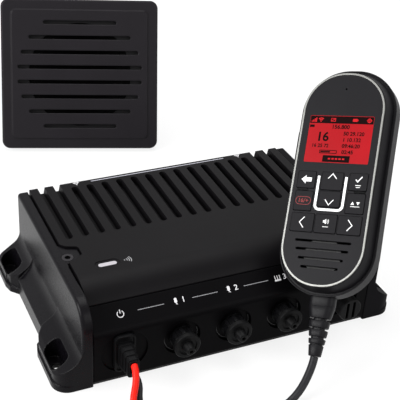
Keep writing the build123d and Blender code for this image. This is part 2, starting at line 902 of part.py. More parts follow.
def make_cap(x):
    """A dust cap: front disc with its dish, stem and hole, and the plug that seals the bore."""
    face = front_plane(x, cap_face, port_z)
    with BuildPart() as cap:
        with BuildSketch(face):
            Circle(cap_radius)
        extrude(amount=-cap_disc)
        fillet(cap.edges().group_by(Axis.Y)[0], cap_round)
        with BuildSketch(face):
            Circle(cap_dish_radius)
        extrude(amount=-cap_dish_depth, mode=Mode.SUBTRACT)
        with BuildSketch(face.offset(-cap_dish_depth)):
            Circle(cap_stem_base)
        with BuildSketch(face.offset(cap_stem)):
            Circle(cap_stem_radius)
        loft()
        fillet(cap.edges().group_by(Axis.Y)[0], cap_round)
        with BuildSketch(face.offset(-cap_disc)):
            Circle(socket_bore - cap_fit)
        extrude(amount=-cap_plug)
        with BuildSketch(face.offset(-cap_disc - cap_plug)):
            with Locations((0, socket_bore - cap_key[0])):
                Rectangle(*cap_key)
        extrude(amount=-cap_key_length)
        with BuildSketch(face.offset(cap_stem)):
            Circle(cap_stem_hole)
        extrude(amount=-cap_stem, mode=Mode.SUBTRACT)
    return cap.part


keep("port_sockets", Compound(children=[make_socket(x) for x in cap_ports + [network_x]]))
for number, x in enumerate(cap_ports, start=1):
    keep(f"port_cap_{number}", make_cap(x))
    keep(f"port_collar_{number}", make_collar(x))

grip_face = front_plane(network_x, grip_cap_face, port_z)
grip_back = grip_cap_face - (socket_seat - socket_flange - fit_gap)
with BuildPart() as network_cap:
    with BuildSketch(grip_face):
        Circle(grip_cap_radius)
    extrude(amount=grip_back)
    fillet(network_cap.edges().group_by(Axis.Y)[0], cap_round)
    with BuildSketch(grip_face.offset(-grip_cap_depth)):
        Circle(socket_radius + fit_gap)
    extrude(amount=grip_back + grip_cap_depth, mode=Mode.SUBTRACT)
    with BuildSketch(grip_face.offset(-grip_cap_depth)):
        Circle(socket_bore - cap_fit)
    extrude(amount=-cap_plug + 1)
    with BuildSketch(grip_face):
        for side in (-1, 1):
            with Locations((side * (grip_rib + grip_slot) / 2, 0)):
                Rectangle(grip_slot, 2 * grip_cap_radius - 4)
    extrude(amount=-grip_slot_depth, mode=Mode.SUBTRACT)
keep("network_cap", network_cap.part)

# ---------------------------------------------------------------- power plug, boot and leads
plug_plane = front_plane(plug_x, face_y, plug_z)
with BuildPart() as power_socket:
    with BuildSketch(plug_plane.offset(-panel_wall)):
        RectangleRounded(
            plug_width + 2 * plug_socket_wall, plug_height + 2 * plug_socket_wall, plug_corner
        )
        RectangleRounded(plug_width, plug_height, plug_corner, mode=Mode.SUBTRACT)
    extrude(amount=-plug_socket_depth)
    with BuildSketch(plug_plane.offset(-panel_wall - plug_socket_depth + plug_socket_floor)):
        RectangleRounded(plug_width, plug_height, plug_corner)
    extrude(amount=-plug_socket_floor)
keep("power_socket", power_socket.part)
with BuildPart() as power_plug:
    with BuildSketch(plug_plane.offset(plug_proud)):
        RectangleRounded(plug_width, plug_height, plug_corner)
    extrude(amount=-plug_proud - plug_inside)
    with BuildSketch(plug_plane.offset(plug_proud)):
        RectangleRounded(plug_width - 2 * plug_rim, plug_height - 2 * plug_rim, plug_corner - plug_rim)
    extrude(amount=-plug_rim_depth, mode=Mode.SUBTRACT)
    boot_floor = plug_plane.offset(plug_proud - plug_rim_depth)
    for number in range(boot_steps):
        share = number / (boot_steps - 1)
        width = boot_start[0] + share * (boot_end[0] - boot_start[0])
        height = boot_start[1] + share * (boot_end[1] - boot_start[1])
        with BuildSketch(boot_floor.offset(number * boot_step)):
            RectangleRounded(width, height, boot_corner)
        extrude(amount=boot_step - boot_neck)
        with BuildSketch(boot_floor.offset((number + 1) * boot_step - boot_neck)):
            RectangleRounded(
                width - 2 * boot_neck_cut, height - 2 * boot_neck_cut, boot_corner - boot_neck_cut
            )
        extrude(amount=boot_neck)
keep("power_plug", power_plug.part)
boot_tip_y = face_y - plug_proud + plug_rim_depth - boot_steps * boot_step

# ---------------------------------------------------------------- antenna sockets at the back


def make_antenna_socket(x, thread, reach, flange_radius, bore):
    """A threaded antenna socket on the back wall with its centre contact."""
    seat = back_plane(x, back_y, antenna_z)
    with BuildPart() as socket:
        with BuildSketch(seat):
            Circle(flange_radius)
        extrude(amount=antenna_flange)
        with BuildSketch(seat):
            Circle(thread - antenna_body_step)
        extrude(amount=-case_wall)
        with BuildSketch(seat.offset(antenna_flange)):
            Circle(thread - antenna_body_step)
        extrude(amount=thread_neck)
        with BuildSketch(seat.offset(antenna_flange + thread_neck)):
            Circle(thread)
        extrude(amount=reach - antenna_flange - thread_neck)
        with BuildSketch(seat.offset(-case_wall)):
            Circle(antenna_tail_radius)
        extrude(amount=-antenna_tail)
        for turn in range(thread_turn_count):
            ring_at = antenna_flange + (turn + 1.0) * (reach - antenna_flange) / (thread_turn_count + 1)
            with BuildSketch(seat.offset(ring_at)):
                Circle(thread + 1)
                Circle(thread - thread_cut, mode=Mode.SUBTRACT)
            extrude(amount=thread_cut, mode=Mode.SUBTRACT)
        with BuildSketch(seat.offset(reach)):
            Circle(bore)
            Circle(antenna_pin, mode=Mode.SUBTRACT)
        extrude(amount=-reach, mode=Mode.SUBTRACT)
    return socket.part


keep("vhf_socket", make_antenna_socket(vhf_x, vhf_thread, vhf_reach, vhf_flange, vhf_bore))
keep("gps_socket", make_antenna_socket(gps_x, gps_thread, gps_reach, gps_flange, gps_bore))

# ---------------------------------------------------------------- handset
handset = Plane(origin=handset_centre, x_dir=handset_x, z_dir=handset_z)
facing_back = Plane(
    origin=handset_centre, x_dir=(-handset.x_dir), z_dir=(-handset.z_dir)
)


def outline(half, top, bottom, corner, level, inset=0.0):
    """The handset's rounded outline at a level of its own frame."""
    with BuildSketch(handset.offset(level)) as shape:
        with Locations((0, (top + bottom) / 2)):
            RectangleRounded(2 * (half - inset), top - bottom - 2 * inset, corner - inset)
    return shape.sketch


def face_outline(level, inset=0.0):
    """Outline of the front face."""
    return outline(face_half, face_top, face_bottom, face_round, level, inset)


def shell_outline(level, inset=0.0):
    """Outline of the widest part of the shell."""
    return outline(shell_half, shell_top, shell_bottom, shell_round, level, inset)


def trim_outline(grow):
    """Ring between the front face and the silver trim's outer edge, opened by grow."""
    return face_outline(-trim_depth, -trim_width - grow) - face_outline(-trim_depth)


def back_outline(level, inset=0.0):
    """Outline of the back face."""
    return outline(back_half, back_top, back_bottom, back_round, level, inset)


def key_sketch(box, level, grow=0.0):
    """Outline of one key from its left, right, bottom and top."""
    left, right, bottom, top = box
    with BuildSketch(handset.offset(level)) as shape:
        with Locations(((left + right) / 2, (bottom + top) / 2)):
            RectangleRounded(right - left + 2 * grow, top - bottom + 2 * grow, key_round)
    return shape.sketch


def light_sketch(level, grow=0.0):
    """Outline of the U-shaped light guide."""
    with BuildSketch(handset.offset(level)) as shape:
        with BuildLine():
            FilletPolyline(
                (-light_half, light_top), (-light_half, light_bottom),
                (light_half, light_bottom), (light_half, light_top), radius=light_round,
            )
        trace(line_width=light_width + 2 * grow)
    return shape.sketch


def round_at(plane, radius):
    """A round outline on a plane."""
    with BuildSketch(plane) as shape:
        Circle(radius)
    return shape.sketch


def box_at(plane, x, y, width, height, corner, low, high):
    """A rounded block between two levels of a plane."""
    return plate(plane.offset(low), x, y, width, height, corner, high - low)


# front shell: bevelled rim, open at the back, with its openings for window, keys, light and slots
front_inset = seam_lip + seam_width
with BuildPart() as handset_front:
    loft(
        [face_outline(0, -trim_width), shell_outline(-shell_edge, front_inset)], ruled=True
    )
    loft(
        [
            face_outline(-front_skin, front_wall_step),
            shell_outline(-shell_edge, front_inset + edge_wall),
        ],
        ruled=True, mode=Mode.SUBTRACT,
    )
    extrude(trim_outline(front_skin), amount=trim_depth + 1, mode=Mode.SUBTRACT)
    window_y = (window_top + window_bottom) / 2
    window_height = window_top - window_bottom
    add(
        box_at(
            handset, 0, window_y, 2 * window_half, window_height, window_round, -window_depth, 1
        ),
        mode=Mode.SUBTRACT,
    )
    add(
        box_at(
            handset, 0, window_y, 2 * (window_half - window_rebate),
            window_height - 2 * window_rebate, window_round, -2 * front_skin, 0,
        ),
        mode=Mode.SUBTRACT,
    )
    for box in key_rows.values():
        extrude(key_sketch(box, 1, key_gap), amount=-2 * front_skin, mode=Mode.SUBTRACT)
    extrude(light_sketch(1), amount=-2 * front_skin, mode=Mode.SUBTRACT)
    for row, half in slot_rows:
        with BuildSketch(handset.offset(1)):
            with Locations((0, row)):
                SlotOverall(2 * half, slot_height)
        extrude(amount=-2 * front_skin, mode=Mode.SUBTRACT)
    with BuildSketch(handset.offset(1)):
        with Locations((0, mic_y)):
            Circle(mic_hole)
    extrude(amount=-2 * front_skin, mode=Mode.SUBTRACT)
    for side in (-1, 1):
        with BuildSketch(handset.offset(-front_skin)):
            with Locations((side * dash_x, dash_y)):
                SlotOverall(dash_length, dash_width)
        extrude(amount=front_skin + dash_height)
keep("handset_front", handset_front.part)

with BuildPart() as handset_trim:
    extrude(trim_outline(0.0), amount=trim_depth)
keep("handset_trim", handset_trim.part)

with BuildPart() as handset_seal:
    extrude(shell_outline(-shell_edge, front_inset + seal_outside), amount=-shell_gap)
    extrude(
        shell_outline(-shell_edge, front_inset + edge_wall), amount=-shell_gap, mode=Mode.SUBTRACT
    )
keep("handset_seal", handset_seal.part)

# back shell: full width at the parting line, drawn in towards the back
relief_plane = Plane(
    origin=handset.from_local_coords((0, shell_bottom + relief_inset, relief_z)),
    x_dir=handset.x_dir, z_dir=-handset.y_dir,
)
back_start = -shell_edge - shell_gap
with BuildPart() as handset_back:
    lip_level = -shell_edge + seam_depth
    extrude(shell_outline(lip_level), amount=-shell_shoulder - lip_level)
    extrude(shell_outline(lip_level, seam_lip), amount=back_start - lip_level, mode=Mode.SUBTRACT)
    loft([shell_outline(-shell_shoulder), back_outline(-shell_depth)], ruled=True)
    extrude(
        shell_outline(back_start, front_inset + edge_wall), amount=-ledge_depth,
        mode=Mode.SUBTRACT,
    )
    extrude(
        shell_outline(back_start - ledge_depth, shell_wall),
        amount=-shell_shoulder - back_start + ledge_depth, mode=Mode.SUBTRACT,
    )
    loft(
        [
            shell_outline(-shell_shoulder, shell_wall),
            back_outline(-shell_depth + shell_wall, shell_wall),
        ],
        ruled=True, mode=Mode.SUBTRACT,
    )
    for x in (-shell_screw_x, shell_screw_x):
        for y in shell_screw_rows:
            post_start = -shell_depth + shell_wall - post_bite
            with BuildSketch(handset.offset(post_start)):
                with Locations((x, y)):
                    Circle(screw_post)
            extrude(amount=screw_post_top - post_start)
            with BuildSketch(handset.offset(-shell_depth - 1)):
                with Locations((x, y)):
                    Circle(small_screw)
            extrude(amount=2 * shell_depth, mode=Mode.SUBTRACT)
            with BuildSketch(handset.offset(-shell_depth)):
                with Locations((x, y)):
                    Circle(small_head_radius)
            extrude(amount=small_head, mode=Mode.SUBTRACT)
    with BuildSketch(handset.offset(-shell_depth)):
        with Locations((0, flap_y)):
            RectangleRounded(
                flap_width + 2 * flap_gap, flap_length + 2 * flap_gap, flap_pocket_corner
            )
    extrude(amount=flap_thickness + flap_gap, mode=Mode.SUBTRACT)
    with BuildSketch(handset.offset(-shell_depth + flap_thickness + flap_gap)):
        with Locations((0, flap_y)):
            RectangleRounded(
                flap_width + 2 * flap_margin, flap_length + 2 * flap_margin, flap_floor_corner
            )
    extrude(amount=flap_floor)
    with BuildSketch(handset.offset(-shell_depth)):
        with Locations((0, flap_y)):
            Circle(distress_radius + key_gap)
    extrude(amount=2 * flap_pocket, mode=Mode.SUBTRACT)
    with BuildSketch(handset.offset(ptt_z - ptt_width / 2 - key_gap)):
        with Locations((-shell_half, ptt_y)):
            Rectangle(4 * shell_wall, ptt_length + 2 * key_gap)
    extrude(amount=ptt_width + 2 * key_gap, mode=Mode.SUBTRACT)
    add(
        plate(relief_plane, 0, 0, relief_collar, relief_collar_depth, 4, relief_collar_length),
        mode=Mode.SUBTRACT,
    )
    add(disc(handset.offset(-shell_depth), 0, lug_y, hanger_neck, -hanger_neck_length))
    add(disc(handset.offset(-shell_depth - hanger_neck_length), 0, lug_y, hanger_radius, -hanger_disc))
keep("handset_back", handset_back.part)

keep("display_window", box_at(
    handset, 0, window_y, 2 * window_half, window_height, window_round, -window_depth, 0
))
keep("display_module", box_at(
    handset, 0, window_y, 2 * (window_half - window_rebate), window_height - 2 * window_rebate,
    window_round, -window_depth - display_thickness, -window_depth,
))
for name, box in key_rows.items():
    skirt_back = -key_depth - key_flange_thickness
    with BuildPart() as key:
        extrude(key_sketch(box, key_proud), amount=-key_proud - key_depth)
        extrude(key_sketch(box, -key_depth, key_flange), amount=-key_flange_thickness)
        with BuildSketch(handset.offset(skirt_back)):
            with Locations(((box[0] + box[1]) / 2, (box[2] + box[3]) / 2)):
                Circle(dome_radius)
        extrude(amount=pcb_z + dome_gap - skirt_back)
    keep(name, key.part)
with BuildPart() as light_bar:
    extrude(light_sketch(light_proud), amount=-light_proud - light_depth)
keep("light_bar", light_bar.part)

with BuildPart() as handset_board:
    extrude(outline(pcb_half, pcb_top, pcb_bottom, pcb_round, pcb_z), amount=-pcb_thickness)
    for x in (-shell_screw_x, shell_screw_x):
        with BuildSketch(handset.offset(pcb_z + 1)):
            with Locations((x, shell_screw_rows[0])):
                Circle(board_post_hole)
        extrude(amount=-2 * pcb_thickness - 2, mode=Mode.SUBTRACT)
    add(disc(handset.offset(pcb_z), 0, mic_y - mic_shift, mic_radius, -pcb_z - front_skin - mic_shift))
keep("handset_board", handset_board.part)
keep("handset_speaker", disc(
    handset.offset(-front_skin - earpiece_gap), 0, earpiece_y, earpiece_radius, -earpiece_depth
))
screws = [
    screw(
        Plane(
            origin=handset.from_local_coords((x, y, -shell_depth + small_head)),
            x_dir=facing_back.x_dir, z_dir=facing_back.z_dir,
        ),
        small_screw, shell_screw, small_head_radius, small_head, small_hex, small_hex_depth,
    )
    for x in (-shell_screw_x, shell_screw_x)
    for y in shell_screw_rows
]
keep("handset_screws", Compound(children=screws))

ptt_side = Plane(
    origin=handset.from_local_coords((-shell_half, ptt_y, ptt_z)),
    x_dir=handset.y_dir, z_dir=-handset.x_dir,
)
with BuildPart() as ptt_button:
    add(plate(ptt_side.offset(ptt_proud), 0, 0, ptt_length, ptt_width, ptt_round, -ptt_proud - ptt_depth))
    add(
        plate(
            ptt_side.offset(-ptt_depth), 0, 0, ptt_length + 2 * ptt_flange,
            ptt_width + 2 * ptt_flange, ptt_round, -key_flange_thickness,
        )
    )
keep("ptt_button", ptt_button.part)

flap_level = -shell_depth
with BuildPart() as distress_flap:
    hinge_y = flap_y + flap_length / 2 - flap_thickness / 2
    free_y = flap_y - flap_length / 2
    add(box_at(
        handset, 0, (hinge_y + free_y) / 2, flap_width, hinge_y - free_y, flap_corner, flap_level,
        flap_level + flap_thickness,
    ))
    barrel = Plane(
        origin=handset.from_local_coords((-flap_barrel / 2, hinge_y, flap_level + flap_thickness / 2)),
        x_dir=handset.y_dir, z_dir=handset.x_dir,
    )
    add(disc(barrel, 0, 0, flap_thickness / 2, flap_barrel))
    with BuildSketch(handset.offset(flap_level)):
        with Locations((0, free_y + flap_thickness)):
            SlotOverall(flap_barrel / 2, flap_thickness)
    extrude(amount=-flap_rib)
keep("distress_flap", distress_flap.part)
button_level = flap_level + flap_thickness + shut_gap
with BuildPart() as distress_key:
    add(disc(
        handset.offset(button_level), 0, flap_y, distress_radius, distress_height
    ))
    add(disc(
        handset.offset(button_level + distress_height), 0, flap_y,
        distress_radius + distress_flange, key_flange_thickness,
    ))
keep("distress_key", distress_key.part)

# strain relief along the handset's own -Y
with BuildPart() as handset_relief:
    add(plate(
        relief_plane, 0, 0, relief_collar, relief_collar_depth, 4, relief_collar_length
    ))
    for number in range(relief_steps):
        share = number / (relief_steps - 1)
        width = relief_start[0] + share * (relief_end[0] - relief_start[0])
        depth = relief_start[1] + share * (relief_end[1] - relief_start[1])
        start = relief_collar_length + number * relief_step
        add(plate(
            relief_plane.offset(start), 0, 0, width - 2 * relief_neck_cut,
            depth - 2 * relief_neck_cut, relief_corner - relief_neck_cut, relief_neck,
        ))
        add(plate(
            relief_plane.offset(start + relief_neck), 0, 0, width, depth, relief_corner,
            relief_step - relief_neck,
        ))
    add(disc(
        relief_plane.offset(relief_collar_length + relief_steps * relief_step), 0, 0,
        relief_sleeve_radius, relief_sleeve,
    ))
keep("handset_relief", handset_relief.part)
relief_tip_y = (
    shell_bottom + relief_inset - relief_collar_length - relief_steps * relief_step - relief_sleeve
)

# ---------------------------------------------------------------- loudspeaker
turn = radians(speaker_turn)
lean = radians(speaker_lean)
speaker_up = Vector(sin(lean) * sin(turn), sin(lean) * cos(turn), cos(lean))
speaker_front = Vector(-sin(turn) * cos(lean), -cos(turn) * cos(lean), sin(lean))
front_depth = grille_thickness + speaker_flange
foot_point = Vector(speaker_foot[0], speaker_foot[1], front_depth * sin(lean))
speaker_centre = foot_point + speaker_up * (speaker_height / 2)
speaker = Plane(origin=speaker_centre, x_dir=(cos(turn), -sin(turn), 0), z_dir=speaker_front)
basket_drop = speaker_height / 2 - basket_radius
basket_length = basket_drop * cos(lean) / sin(lean)
flange_back = -front_depth

screw_across = speaker_width / 2 - speaker_screw_inset
screw_up = speaker_height / 2 - speaker_screw_inset
speaker_screw_spots = [(x * screw_across, y * screw_up) for x in (-1, 1) for y in (-1, 1)]
speaker_thread = speaker_screw - speaker_flange

outward = Axis(speaker.origin, speaker.z_dir)
with BuildPart() as speaker_grille:
    add(plate(
        speaker.offset(-grille_thickness), 0, 0, speaker_width, speaker_height, speaker_round,
        grille_thickness - grille_rim_depth,
    ))
    fillet(speaker_grille.edges().group_by(outward)[-1], grille_round)
    add(plate(
        speaker.offset(-grille_rim_depth), 0, 0, speaker_width - 2 * grille_rim,
        speaker_height - 2 * grille_rim, speaker_round - grille_corner_step, grille_rim_depth,
    ))
    fillet(speaker_grille.edges().group_by(outward)[-1], grille_step_round)
    add(
        disc(
            speaker.offset(-grille_thickness), 0, 0, speaker_slot_circle + grille_recess_rim,
            grille_thickness - grille_skin,
        ),
        mode=Mode.SUBTRACT,
    )
    for number in range(speaker_slot_count):
        row = (number - (speaker_slot_count - 1) / 2) * speaker_slot_pitch
        half = sqrt(speaker_slot_circle**2 - row**2) - speaker_slot / 2
        with BuildSketch(speaker.offset(1)):
            with Locations((0, row)):
                SlotOverall(2 * half, speaker_slot)
        extrude(amount=-2 * grille_thickness, mode=Mode.SUBTRACT)
    for x, y in speaker_screw_spots:
        add(
            disc(speaker.offset(-grille_thickness), x, y, small_screw, speaker_thread),
            mode=Mode.SUBTRACT,
        )
keep("speaker_grille", speaker_grille.part)

with BuildPart() as speaker_housing:
    add(plate(
        speaker.offset(flange_back), 0, 0, speaker_width, speaker_height, speaker_round,
        speaker_flange,
    ))
    add(disc(speaker.offset(flange_back), 0, 0, basket_radius, -basket_length))
    add(
        disc(
            speaker.offset(flange_back + speaker_flange), 0, 0, basket_radius - basket_wall,
            -basket_length - speaker_flange + basket_wall,
        ),
        mode=Mode.SUBTRACT,
    )
    with BuildSketch(speaker.offset(flange_back - basket_length)):
        Circle(gland_radius)
    extrude(amount=basket_wall, mode=Mode.SUBTRACT)
    for x, y in speaker_screw_spots:
        add(disc(speaker.offset(flange_back), x, y, small_screw, speaker_flange), mode=Mode.SUBTRACT)
keep("speaker_housing", speaker_housing.part)

with BuildPart() as speaker_cone:
    cone_front = -grille_thickness - cone_gap
    add(loft([
        round_at(speaker.offset(cone_front), cone_radius),
        round_at(speaker.offset(cone_front - cone_depth), cone_centre),
    ]))
    add(
        loft([
            round_at(speaker.offset(cone_front), cone_radius - cone_wall),
            round_at(speaker.offset(cone_front - cone_depth + cone_wall), cone_centre - cone_wall),
        ]),
        mode=Mode.SUBTRACT,
    )
keep("speaker_cone", speaker_cone.part)
with BuildPart() as speaker_basket:
    ring_out = basket_radius - basket_wall
    with BuildSketch(speaker.offset(cone_front - basket_ring)):
        Circle(ring_out)
        Circle(cone_radius + fit_gap, mode=Mode.SUBTRACT)
    extrude(amount=basket_ring)
    magnet_front = cone_front - cone_depth - magnet_gap
    add(disc(speaker.offset(magnet_front), 0, 0, magnet_radius, -magnet_depth))
    arm_start = magnet_radius - arm_overlap
    arm_end = ring_out - fit_gap
    arm_reach = (arm_start + arm_end) / 2
    riser_reach = arm_end - riser_width / 2
    for number in range(basket_arms):
        angle = 2 * pi * (number + 0.5) / basket_arms
        ray = speaker.x_dir * cos(angle) + speaker.y_dir * sin(angle)
        arm = Plane(
            origin=speaker.from_local_coords((
                cos(angle) * arm_reach, sin(angle) * arm_reach, magnet_front - arm_thickness,
            )),
            x_dir=ray, z_dir=speaker.z_dir,
        )
        add(plate(arm, 0, 0, arm_end - arm_start, arm_width, 1, arm_thickness))
        riser = Plane(
            origin=speaker.from_local_coords((
                cos(angle) * riser_reach, sin(angle) * riser_reach, magnet_front - arm_thickness,
            )),
            x_dir=ray, z_dir=speaker.z_dir,
        )
        add(plate(
            riser, 0, 0, riser_width, arm_width, 0.5, cone_front - magnet_front + arm_thickness
            - basket_ring / 2,
        ))
keep("speaker_basket", speaker_basket.part)
driven = [
    screw(
        Plane(
            origin=speaker.from_local_coords((x, y, flange_back)),
            x_dir=speaker.x_dir, z_dir=-speaker.z_dir,
        ),
        small_screw, speaker_screw, small_head_radius, small_head, small_hex, small_hex_depth,
    )
    for x, y in speaker_screw_spots
]
keep("speaker_screws", Compound(children=driven))
with BuildPart() as speaker_gland:
    gland_at = speaker.offset(flange_back - basket_length)
    with BuildSketch(gland_at):
        RegularPolygon(gland_hex / 2, 6, major_radius=False)
    extrude(amount=-gland_length)
    with BuildSketch(gland_at):
        Circle(gland_radius)
    extrude(amount=basket_wall)
    with BuildSketch(gland_at.offset(basket_wall)):
        Circle(gland_bore)
    extrude(amount=-basket_wall - gland_length, mode=Mode.SUBTRACT)
keep("speaker_gland", speaker_gland.part)

# ---------------------------------------------------------------- leads and the handset's cord
red_way = [(-0.9, -27.6, 26.6), (-7.6, -35.5, 10.5), (-17.3, -67.0, 2.6), (-18.9, -87.0, 2.6)]
black_way = [(1.6, -27.0, 19.8), (-2.0, -33.0, 8.0), (-5.3, -72.0, 2.6), (-5.7, -98.0, 2.6)]
cord_way = [
    (-54.8, -60.9, 4.2), (-77.8, -69.0, 3.2), (-93.8, -94.0, 3.2), (-97.8, -118.0, 3.2),
    (-97.85, -140.0, 3.2),
]
tail_way = [
    (25.7, -8.0, 14.6), (25.9, 9.0, 16.5), (24.0, 16.0, 21.5), (18.0, 21.0, 25.0), (8.0, 22.1, 25.8)
]
cord_straight = 8.0
bend_share = 0.45
coil_corner_gap = 0.05
coil_diameters = 11.0
coil_layers = 3
coil_lift = 0.3
entry_diameters = (coil_diameters + coil_layers - 1) / 2
red_route = [(plug_x, boot_tip_y, plug_z + lead_pitch / 2)]
red_route += [(plug_x + x, front_y + y, z) for x, y, z in red_way]
black_route = [(plug_x, boot_tip_y, plug_z - lead_pitch / 2)]
black_route += [(plug_x + x, front_y + y, z) for x, y, z in black_way]
cord_tip_y = relief_tip_y - fit_gap
handset_route = [
    tuple(handset.from_local_coords((0, cord_tip_y, relief_z))),
    tuple(handset.from_local_coords((0, cord_tip_y - cord_straight, relief_z))),
]
handset_route += [(handset_centre[0] + x, front_y + y, z) for x, y, z in cord_way]
red_coil_centre = (red_route[-1][0] - entry_diameters * lead_diameter, red_route[-1][1])
black_coil_centre = (black_route[-1][0] + entry_diameters * lead_diameter, black_route[-1][1])
handset_coil_centre = (
    handset_route[-1][0] + entry_diameters * cord_diameter, handset_route[-1][1]
)
tail_route = [
    (handset_coil_centre[0] + x, handset_coil_centre[1] + y, z) for x, y, z in tail_way
]
connector_radius = 7.6
connector_ring = 8.3
connector_length = 38.0
connector_ring_length = 16.0
connector_sleeve = 4.4
connector_sleeve_length = 8.0
connector_lip = 1.4
connector_mouth = 9.0
connector_insert = 7.0
connector_facets = 12


def arc_radii(points):
    """The largest arc that each inner corner of a route has room for."""
    radii = []
    for before, corner, after in zip(points, points[1:], points[2:]):
        come = Vector(*corner) - Vector(*before)
        go = Vector(*after) - Vector(*corner)
        half_turn = radians(come.get_angle(go)) / 2
        radii.append(bend_share * min(come.length, go.length) / tan(half_turn))
    return radii


def make_tube(points, diameter, name):
    """A lead or cord along its route: straight runs joined by tangent arcs."""
    radii = arc_radii(points)
    with BuildLine() as path:
        FilletPolyline(*points, radius=radii)
    wire = path.wires()[0]
    with BuildPart() as tube:
        with BuildSketch(Plane(origin=wire @ 0, z_dir=wire % 0)):
            Circle(diameter / 2)
        sweep(path=wire)
    straight = pi * diameter**2 / 4 * wire.length
    print(name, "radii", [round(value, 1) for value in radii], "length", round(wire.length, 1))
    print(name, "volume", round(tube.part.volume), "section times length", round(straight))
    return tube.part


def make_coil(centre, diameter):
    """The closed outer shape of a put-away coil lying on the floor."""
    band = coil_layers * diameter
    with BuildPart() as coil:
        with BuildSketch(Plane.XZ) as section:
            with Locations((coil_diameters * diameter / 2, coil_lift + band / 2)):
                RectangleRounded(band, band, diameter / 2 - coil_corner_gap)
        revolve(axis=Axis.Z)
    return coil.part.moved(Location((centre[0], centre[1], 0)))


keep("red_lead", make_tube(red_route, lead_diameter, "red_lead"))
keep("black_lead", make_tube(black_route, lead_diameter, "black_lead"))
keep("handset_cord", Compound(children=[
    make_tube(handset_route, cord_diameter, "handset_cord"),
    make_tube(tail_route, cord_diameter, "handset_cord end"),
]))
keep("red_coil", make_coil(red_coil_centre, lead_diameter))
keep("black_coil", make_coil(black_coil_centre, lead_diameter))
keep("handset_coil", make_coil(handset_coil_centre, cord_diameter))

connector_plane = Plane(origin=tail_route[-1], x_dir=(0, 1, 0), z_dir=(-1, 0, 0))
with BuildPart() as handset_connector:
    add(disc(connector_plane, 0, 0, connector_sleeve, connector_sleeve_length))
    add(disc(
        connector_plane.offset(connector_sleeve_length), 0, 0, connector_radius,
        connector_length - connector_sleeve_length,
    ))
    with BuildSketch(connector_plane.offset(connector_length - connector_ring_length)):
        RegularPolygon(connector_ring, connector_facets)
    extrude(amount=connector_ring_length - 2)
    add(
        disc(
            connector_plane.offset(connector_length), 0, 0, connector_radius - connector_lip,
            -connector_mouth,
        ),
        mode=Mode.SUBTRACT,
    )
    add(disc(
        connector_plane.offset(connector_length - connector_mouth), 0, 0, socket_bore - 1,
        connector_insert,
    ))
keep("handset_connector", handset_connector.part)

for name, body in pieces.items():
    export_step(body, f"parts/{name}.step")
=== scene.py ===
"""A fixed marine radio: finned transceiver on its feet, corded handset and loudspeaker.

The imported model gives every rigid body. This script dresses those bodies, adds the markings,
the cords and the small surface detail, and sets the floor, the lights and the camera.
"""

import json
import logging
import math
from dataclasses import dataclass, field
from enum import Enum

import bmesh
import bpy
from mathutils import Matrix, Vector

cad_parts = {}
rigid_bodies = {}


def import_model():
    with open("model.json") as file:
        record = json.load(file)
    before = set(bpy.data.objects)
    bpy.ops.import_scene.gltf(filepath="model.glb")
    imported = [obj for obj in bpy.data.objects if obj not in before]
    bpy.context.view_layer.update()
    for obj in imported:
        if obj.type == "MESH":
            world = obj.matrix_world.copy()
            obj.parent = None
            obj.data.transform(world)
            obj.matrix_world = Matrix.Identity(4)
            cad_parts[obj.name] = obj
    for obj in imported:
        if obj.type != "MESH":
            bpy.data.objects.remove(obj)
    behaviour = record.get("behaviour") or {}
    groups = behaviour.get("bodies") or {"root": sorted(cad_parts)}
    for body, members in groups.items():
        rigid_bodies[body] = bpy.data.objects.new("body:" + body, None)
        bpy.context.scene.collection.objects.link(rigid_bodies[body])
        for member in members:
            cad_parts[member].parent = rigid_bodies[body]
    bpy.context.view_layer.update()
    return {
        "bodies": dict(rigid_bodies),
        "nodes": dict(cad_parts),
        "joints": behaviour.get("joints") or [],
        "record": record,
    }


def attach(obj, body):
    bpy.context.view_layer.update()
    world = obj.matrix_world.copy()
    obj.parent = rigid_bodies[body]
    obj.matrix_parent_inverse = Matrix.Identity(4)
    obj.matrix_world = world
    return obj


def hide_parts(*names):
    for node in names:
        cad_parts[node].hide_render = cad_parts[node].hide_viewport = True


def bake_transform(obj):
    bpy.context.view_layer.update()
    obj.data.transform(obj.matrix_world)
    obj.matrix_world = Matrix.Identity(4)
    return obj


LOG = logging.getLogger("marine_radio")
MM = 0.001
SIDEWAYS = Vector((1.0, 0.0, 0.0))
BACKWARD = Vector((0.0, 1.0, 0.0))
UPWARD = Vector((0.0, 0.0, 1.0))
Colour = tuple[float, float, float]
Point = tuple[float, float, float]
Spot = tuple[float, float]
Outline = list[Spot]


class Sheen(Enum):
    """How shiny a surface is, as its mean roughness."""

    MATT = 0.62
    SATIN = 0.42
    SOFT_GLOSS = 0.28


# ---------------------------------------- finishes


def shade(colour: Colour, share: float) -> Colour:
    """A colour times a share, never past full."""
    return tuple(min(1.0, part * share) for part in colour)


